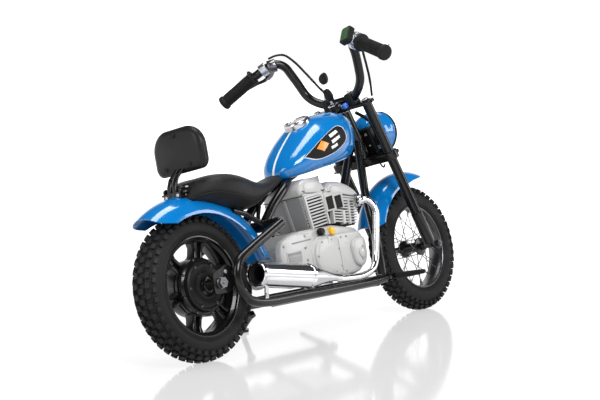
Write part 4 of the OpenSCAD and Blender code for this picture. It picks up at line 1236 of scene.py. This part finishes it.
def controls():
    """Housings, perches and levers on both sides."""
    for sign, name in SIDES:
        def at(p):
            return np.array(p, float) * [1, sign, 1]
        collar_axis = at((532, 139, 676)) - at((542, 127, 678))
        collar = lathe([(11.2, -11), (15.5, -11), (16.5, -9.5), (16.5, 9.5), (15.5, 11), (11.2, 11)], 40)
        collar = collar.moved(pose(at((537, 133, 677.4)), collar_axis))
        pivot = at((546, 163, 656))
        arm = loft([[centre + np.array([x, 0, z]) for x, z in ring] for centre, ring in (
            (at((537, 133, 677)), ((0, -9), (12, -9), (14, 6), (2, 8))),
            (at((546, 150, 664)), ((-8, -9), (8, -9), (8, 6), (-8, 6))),
            (pivot, ((-8, -7.5), (7, -7.5), (7, 4.2), (-8, 4.2))))])
        key = "dark_steel" if sign > 0 else "zinc"
        piece(f"lever_perch_{name}", collar + arm, key, "steering", "lever_perches" if sign < 0 else None,
              bevel=0.8)
        rings = []
        for p, w, h in ((pivot + np.array([0, -sign * 6, 0]), 6.5, 4.5), (at((549, 178, 650)), 6.2, 4.2),
                        (at((542, 200, 646)), 6.0, 3.4), (at((532, 222, 639)), 6.2, 3.2),
                        (at((526, 234, 635)), 6.4, 3.4), (at((523.5, 239.5, 632.2)), 4.0, 2.4)):
            rings.append([tuple(np.array(p) + [w * math.cos(a), 0, h * math.sin(a)])
                          for a in circle(20)])
        ball = lathe([(0.01, -6.2), (3.4, -5.2), (5.6, -2.6), (6.2, 0), (5.6, 2.6), (3.4, 5.2),
                      (0.01, 6.2)], 24)
        ball = ball.moved(pose(at((524, 238, 633))))
        lever_key = "black_plastic" if sign > 0 else "zinc"
        piece(f"lever_{name}_look", loft(rings) + ball, lever_key, f"lever_{name}", f"brake_lever_{name}",
              angle=40)
        pin = bolt(pivot + np.array([0, 0, 4]), (0, 0, 1), 4, 2.4)
        piece(f"lever_pin_{name}", pin, "steel", "steering")
    # Right: throttle housing with its display, facing the rider
    a, b = np.array([512.0, -162, 664]), np.array([484.0, -156, 681])
    housing = lathe([(0.01, -3), (14, -3), (15, -1), (15, 16), (16.5, 18), (16.5, 23), (15.5, 25),
                     (0.01, 25)], 40).moved(pose(a, b - a))
    hub = lathe([(11.4, -12), (20, -12), (21.5, -10), (21.5, 7), (20, 9), (11.4, 9)], 40)
    hub = hub.moved(pose(flip_y((520, 157, 667)), flip_y(GRIP_IN) - flip_y(BAR[8])))
    piece("throttle_housing_look", housing + hub, "zinc", "steering", "throttle_housing")
    front = pose(a + unit(b - a) * 24, b - a, (0, 1, 0))
    case = puffed(rounded_rect(32, 42, 6, 4), 0, 15, 3, 3).moved(front)
    piece("throttle_display_case", case, "black_plastic", "steering", angle=40)
    face = puffed(rounded_rect(24, 32, 3, 4), 14, 15.6, 0.6, 2).moved(front)
    piece("throttle_display", face, "display", "steering", angle=40)
    # Left: clamp for the brake sleeve
    clamp = lathe([(11.3, -9), (15.4, -9), (16.2, -8), (16.2, 8), (15.4, 9), (11.3, 9)], 36)
    clamp = clamp.moved(pose((523, 150, 672), GRIP_IN - np.array(BAR[8])))
    piece("left_bar_clamp", clamp, "zinc", "steering")


def ignition():
    place = head_frame(85, -26)
    barrel = [(0.01, 20), (5, 20), (5.2, 18), (9, 18.2), (10.4, 17.4), (12, 16.6), (12.4, 15), (12.4, 6),
              (14, 5), (14.4, 0), (0.01, 0)]
    piece("ignition_barrel", lathe(barrel, 40).moved(place), "black_plastic", "steering",
          "ignition_switch")
    ring = [(9.2, 17.6), (12.6, 17), (13.2, 18), (12.8, 19.6), (10.2, 20.4), (9.2, 19.8)]
    piece("ignition_ring", ring_of(ring, 40).moved(place), "chrome", "steering")
    key_place = head_frame(95.1, -26)
    blade = block((-1, -3.6, -1), (1, 3.6, 24))

    def bow(w, h, hole_z):
        outline = [(w * math.cos(a) * (1 - 0.16 * math.sin(a)), h * math.sin(a)) for a in circle(36)]
        inset = [(x * 0.9, y * 0.92) for x, y in outline]
        hole = [(2.9 * math.cos(a), hole_z + 2.9 * math.sin(a)) for a in circle(36)]
        return loft([[(x, y, z) for x, y in ring] for ring, z in (
            (hole, -4), (inset, -4), (outline, -3.4), (outline, 3.4), (inset, 4), (hole, 4))], closed=True)

    # The bow stands across the bike: its thin side faces the rider's left and right
    main = bow(11.5, 16, 10.5).moved(pose((0, 0, 37), (1, 0, 0), (0, 1, 0)))
    spare = bow(11.5, 15.5, 10.5).moved(pose((0, -8, 80), (1, 0, 0), unit((0, 0.84, 0.55))))
    stub = block((-1.2, -4.5, 20), (1.2, 4.5, 28))
    piece("key_look", (main + stub).moved(key_place), "black_plastic", "key", "ignition_key", angle=40)
    piece("key_blade", blade.moved(key_place), "steel", "key", angle=40, bevel=0.3)
    piece("spare_key", spare.moved(key_place), "black_plastic", "key", angle=40)
    loop = [(0, 11 * math.cos(a) - 2, 58 + 11 * math.sin(a)) for a in np.linspace(0, 2 * math.pi, 40)]
    piece("key_ring", sweep(loop, 0.75, 8).moved(key_place), "steel", "key", angle=60)
    cup = lathe([(0.01, 12), (4.2, 12), (6.4, 11), (7.6, 9), (8, 0), (0.01, 0)], 32)
    piece("indicator", cup.moved(head_frame(85, -12, -24)), "indicator", "steering")
    bar_nut = lathe([(0.01, 16), (4, 16), (5, 15), (5, 11), (8.5, 10), (9, 0), (0.01, 0)], 24)
    piece("clamp_fitting", bar_nut.moved(head_frame(85, 14, -30)), "chrome", "steering")


def cables():
    left = smooth_path([(535, 139, 698), (550, 127, 703), (566, 112, 701), (582, 96, 680), (598, 78, 645),
                        (612, 58, 606), (617, 44, 584), (614, 36, 573)], 2.2)
    piece("left_cable", ribbed(left, 2.7, 3.3, 46, 12), "rubber", "steering", "bar_cables", angle=60)
    right = smooth_path([(552, -146, 662), (571, -131, 648), (588, -121, 622), (603, -112, 594),
                         (613, -104, 568), (617, -99, 546)], 3)
    piece("right_cable", sweep(right, 3, 14), "rubber", "steering", angle=60)
    finish_node("brake_cable_rear", "rubber")


def pegs():
    for sign, name in SIDES:
        profile = [(0.01, 0), (8.2, 0), (8.9, 1.5), (8.9, 5), (8.4, 7), (5.3, 80), (4.4, 83.5), (0.01, 84)]
        shape = lathe(profile, 32).moved(pose((564, sign * 113, 102), (-0.024, sign, 0), (1, 0, 0)))
        lug = block((558, min(sign * 96.5, sign * 114), 96), (570, max(sign * 96.5, sign * 114), 108))
        piece(f"peg_{name}_look", shape, "rubber", f"peg_{name}", f"footpeg_{name}", angle=30)
        piece(f"peg_lug_{name}", lug, "frame", f"peg_{name}", angle=40, bevel=1.5)


# ---- CAD nodes that stay, with better materials ----
def carried_over():
    finish_node("frame_spine frame_cross_tubes frame_downtubes seat_pan side_stand", "frame")
    finish_node("headset_bearings steering_stem", "steel")
    finish_node("rear_axle front_axle", "dark_steel")
    finish_node("frame_bolts", "zinc")
    finish_node("battery_pack", "navy")
    finish_node("motor_controller", "steel")


# ---- Studio ----
DIM = 0.07
BRIGHT = 1.05
FLOOR_SIZE = 120


def floor():
    """A white floor, darker near the machine to show a soft reflection, brighter further away."""
    bpy.ops.mesh.primitive_plane_add(size=FLOOR_SIZE, location=(0, 0, 0))
    plane = bpy.context.object
    plane.name = "studio_floor"
    m = Mat("studio_white", (0.22, 0.22, 0.22), 0.10, grain=20, bump=0.0, vary=0.0, rough_vary=0.01)
    x, y = m.xyz()[:2]
    away = m.math("SQRT", m.math("ADD", m.math("MULTIPLY", x, x), m.math("MULTIPLY", y, y)))
    m.shader.inputs["Emission Color"].default_value = (1, 1, 1, 1)
    m.link(m.map(away, 0.7, 2.2, 0.56, 0.95), m.shader.inputs["Emission Strength"])
    plane.data.materials.append(m.material)


def area(name, location, target, size, power):
    light = bpy.data.lights.new(name, "AREA")
    light.shape = "RECTANGLE"
    light.size, light.size_y = size
    light.energy = power
    obj = bpy.data.objects.new(name, light)
    bpy.context.scene.collection.objects.link(obj)
    obj.location = location
    obj.rotation_euler = (Vector(target) - Vector(location)).to_track_quat("-Z", "Y").to_euler()


def studio():
    world = bpy.data.worlds.new("studio")
    bpy.context.scene.world = world
    world.use_nodes = True
    tree = world.node_tree
    tree.nodes["Background"].inputs["Color"].default_value = (1, 1, 1, 1)
    # White behind the machine and low down all round, dim above and on the other sides
    direction = tree.nodes.new("ShaderNodeTexCoord").outputs["Generated"]
    facing = tree.nodes.new("ShaderNodeVectorMath")
    facing.operation = "DOT_PRODUCT"
    tree.links.new(direction, facing.inputs[0])
    facing.inputs[1].default_value = (0.765, 0.644, 0)
    height = tree.nodes.new("ShaderNodeSeparateXYZ")
    tree.links.new(direction, height.inputs[0])
    brighter = tree.nodes.new("ShaderNodeMath")
    brighter.operation = "MAXIMUM"
    for source, values, socket in ((facing.outputs["Value"], (0.78, 0.94, DIM, BRIGHT), brighter.inputs[0]),
                                   (height.outputs["Z"], (0.17, 0.30, BRIGHT, DIM), brighter.inputs[1])):
        fade = tree.nodes.new("ShaderNodeMapRange")
        for name, value in zip(RANGE_SOCKETS, values):
            fade.inputs[name].default_value = value
        tree.links.new(source, fade.inputs["Value"])
        tree.links.new(fade.outputs["Result"], socket)
    tree.links.new(brighter.outputs["Value"], tree.nodes["Background"].inputs["Strength"])
    area("key", (-1.2, -2.6, 2.6), (0, 0, 0.3), (1.6, 1.2), 82)
    area("side", (-3.0, 0.6, 1.6), (0, 0, 0.35), (1.0, 1.6), 22)
    area("front", (2.4, -2.2, 1.6), (0, 0, 0.3), (1.0, 1.4), 24)
    area("top", (0.0, 0.2, 3.0), (0, 0, 0.3), (2.2, 1.0), 52)
    floor()


def camera():
    cam = bpy.data.cameras.new("camera")
    obj = bpy.data.objects.new("camera", cam)
    bpy.context.scene.collection.objects.link(obj)
    cam.lens = 76.7
    cam.sensor_width = 36
    cam.sensor_fit = "HORIZONTAL"
    cam.clip_start = 0.05
    obj.location = (-2.3085, -1.9841, 0.6106)
    target = Vector((-0.0984, -0.1211, 0.3236))
    obj.rotation_euler = (target - obj.location).to_track_quat("-Z", "Y").to_euler()
    bpy.context.scene.camera = obj
    bpy.context.scene.view_settings.view_transform = "Standard"


def write_sizes():
    bpy.context.view_layer.update()


camera()
studio()
carried_over()
tyre("rear_tyre_look", "rear_wheel", 0, REAR_Z, REAR_R, REAR_HALF, CROWN, 109, 44, "rear_tyre")
tyre("front_tyre_look", "front_wheel", WHEELBASE, FRONT_Z, FRONT_R, FRONT_HALF, FRONT_CROWN, 108, 46,
     "front_tyre")
rear_wheel()
front_wheel()
fenders()
frame_tubes()
tank()
seat()
backrest()
rear_cylinder()
front_cylinder()
vent_panels()
rocker_covers()
crankcase()
primary_cover()
engine_fittings()
exhaust()
fork()
headlight()
bars()
controls()
ignition()
cables()
pegs()
write_sizes()
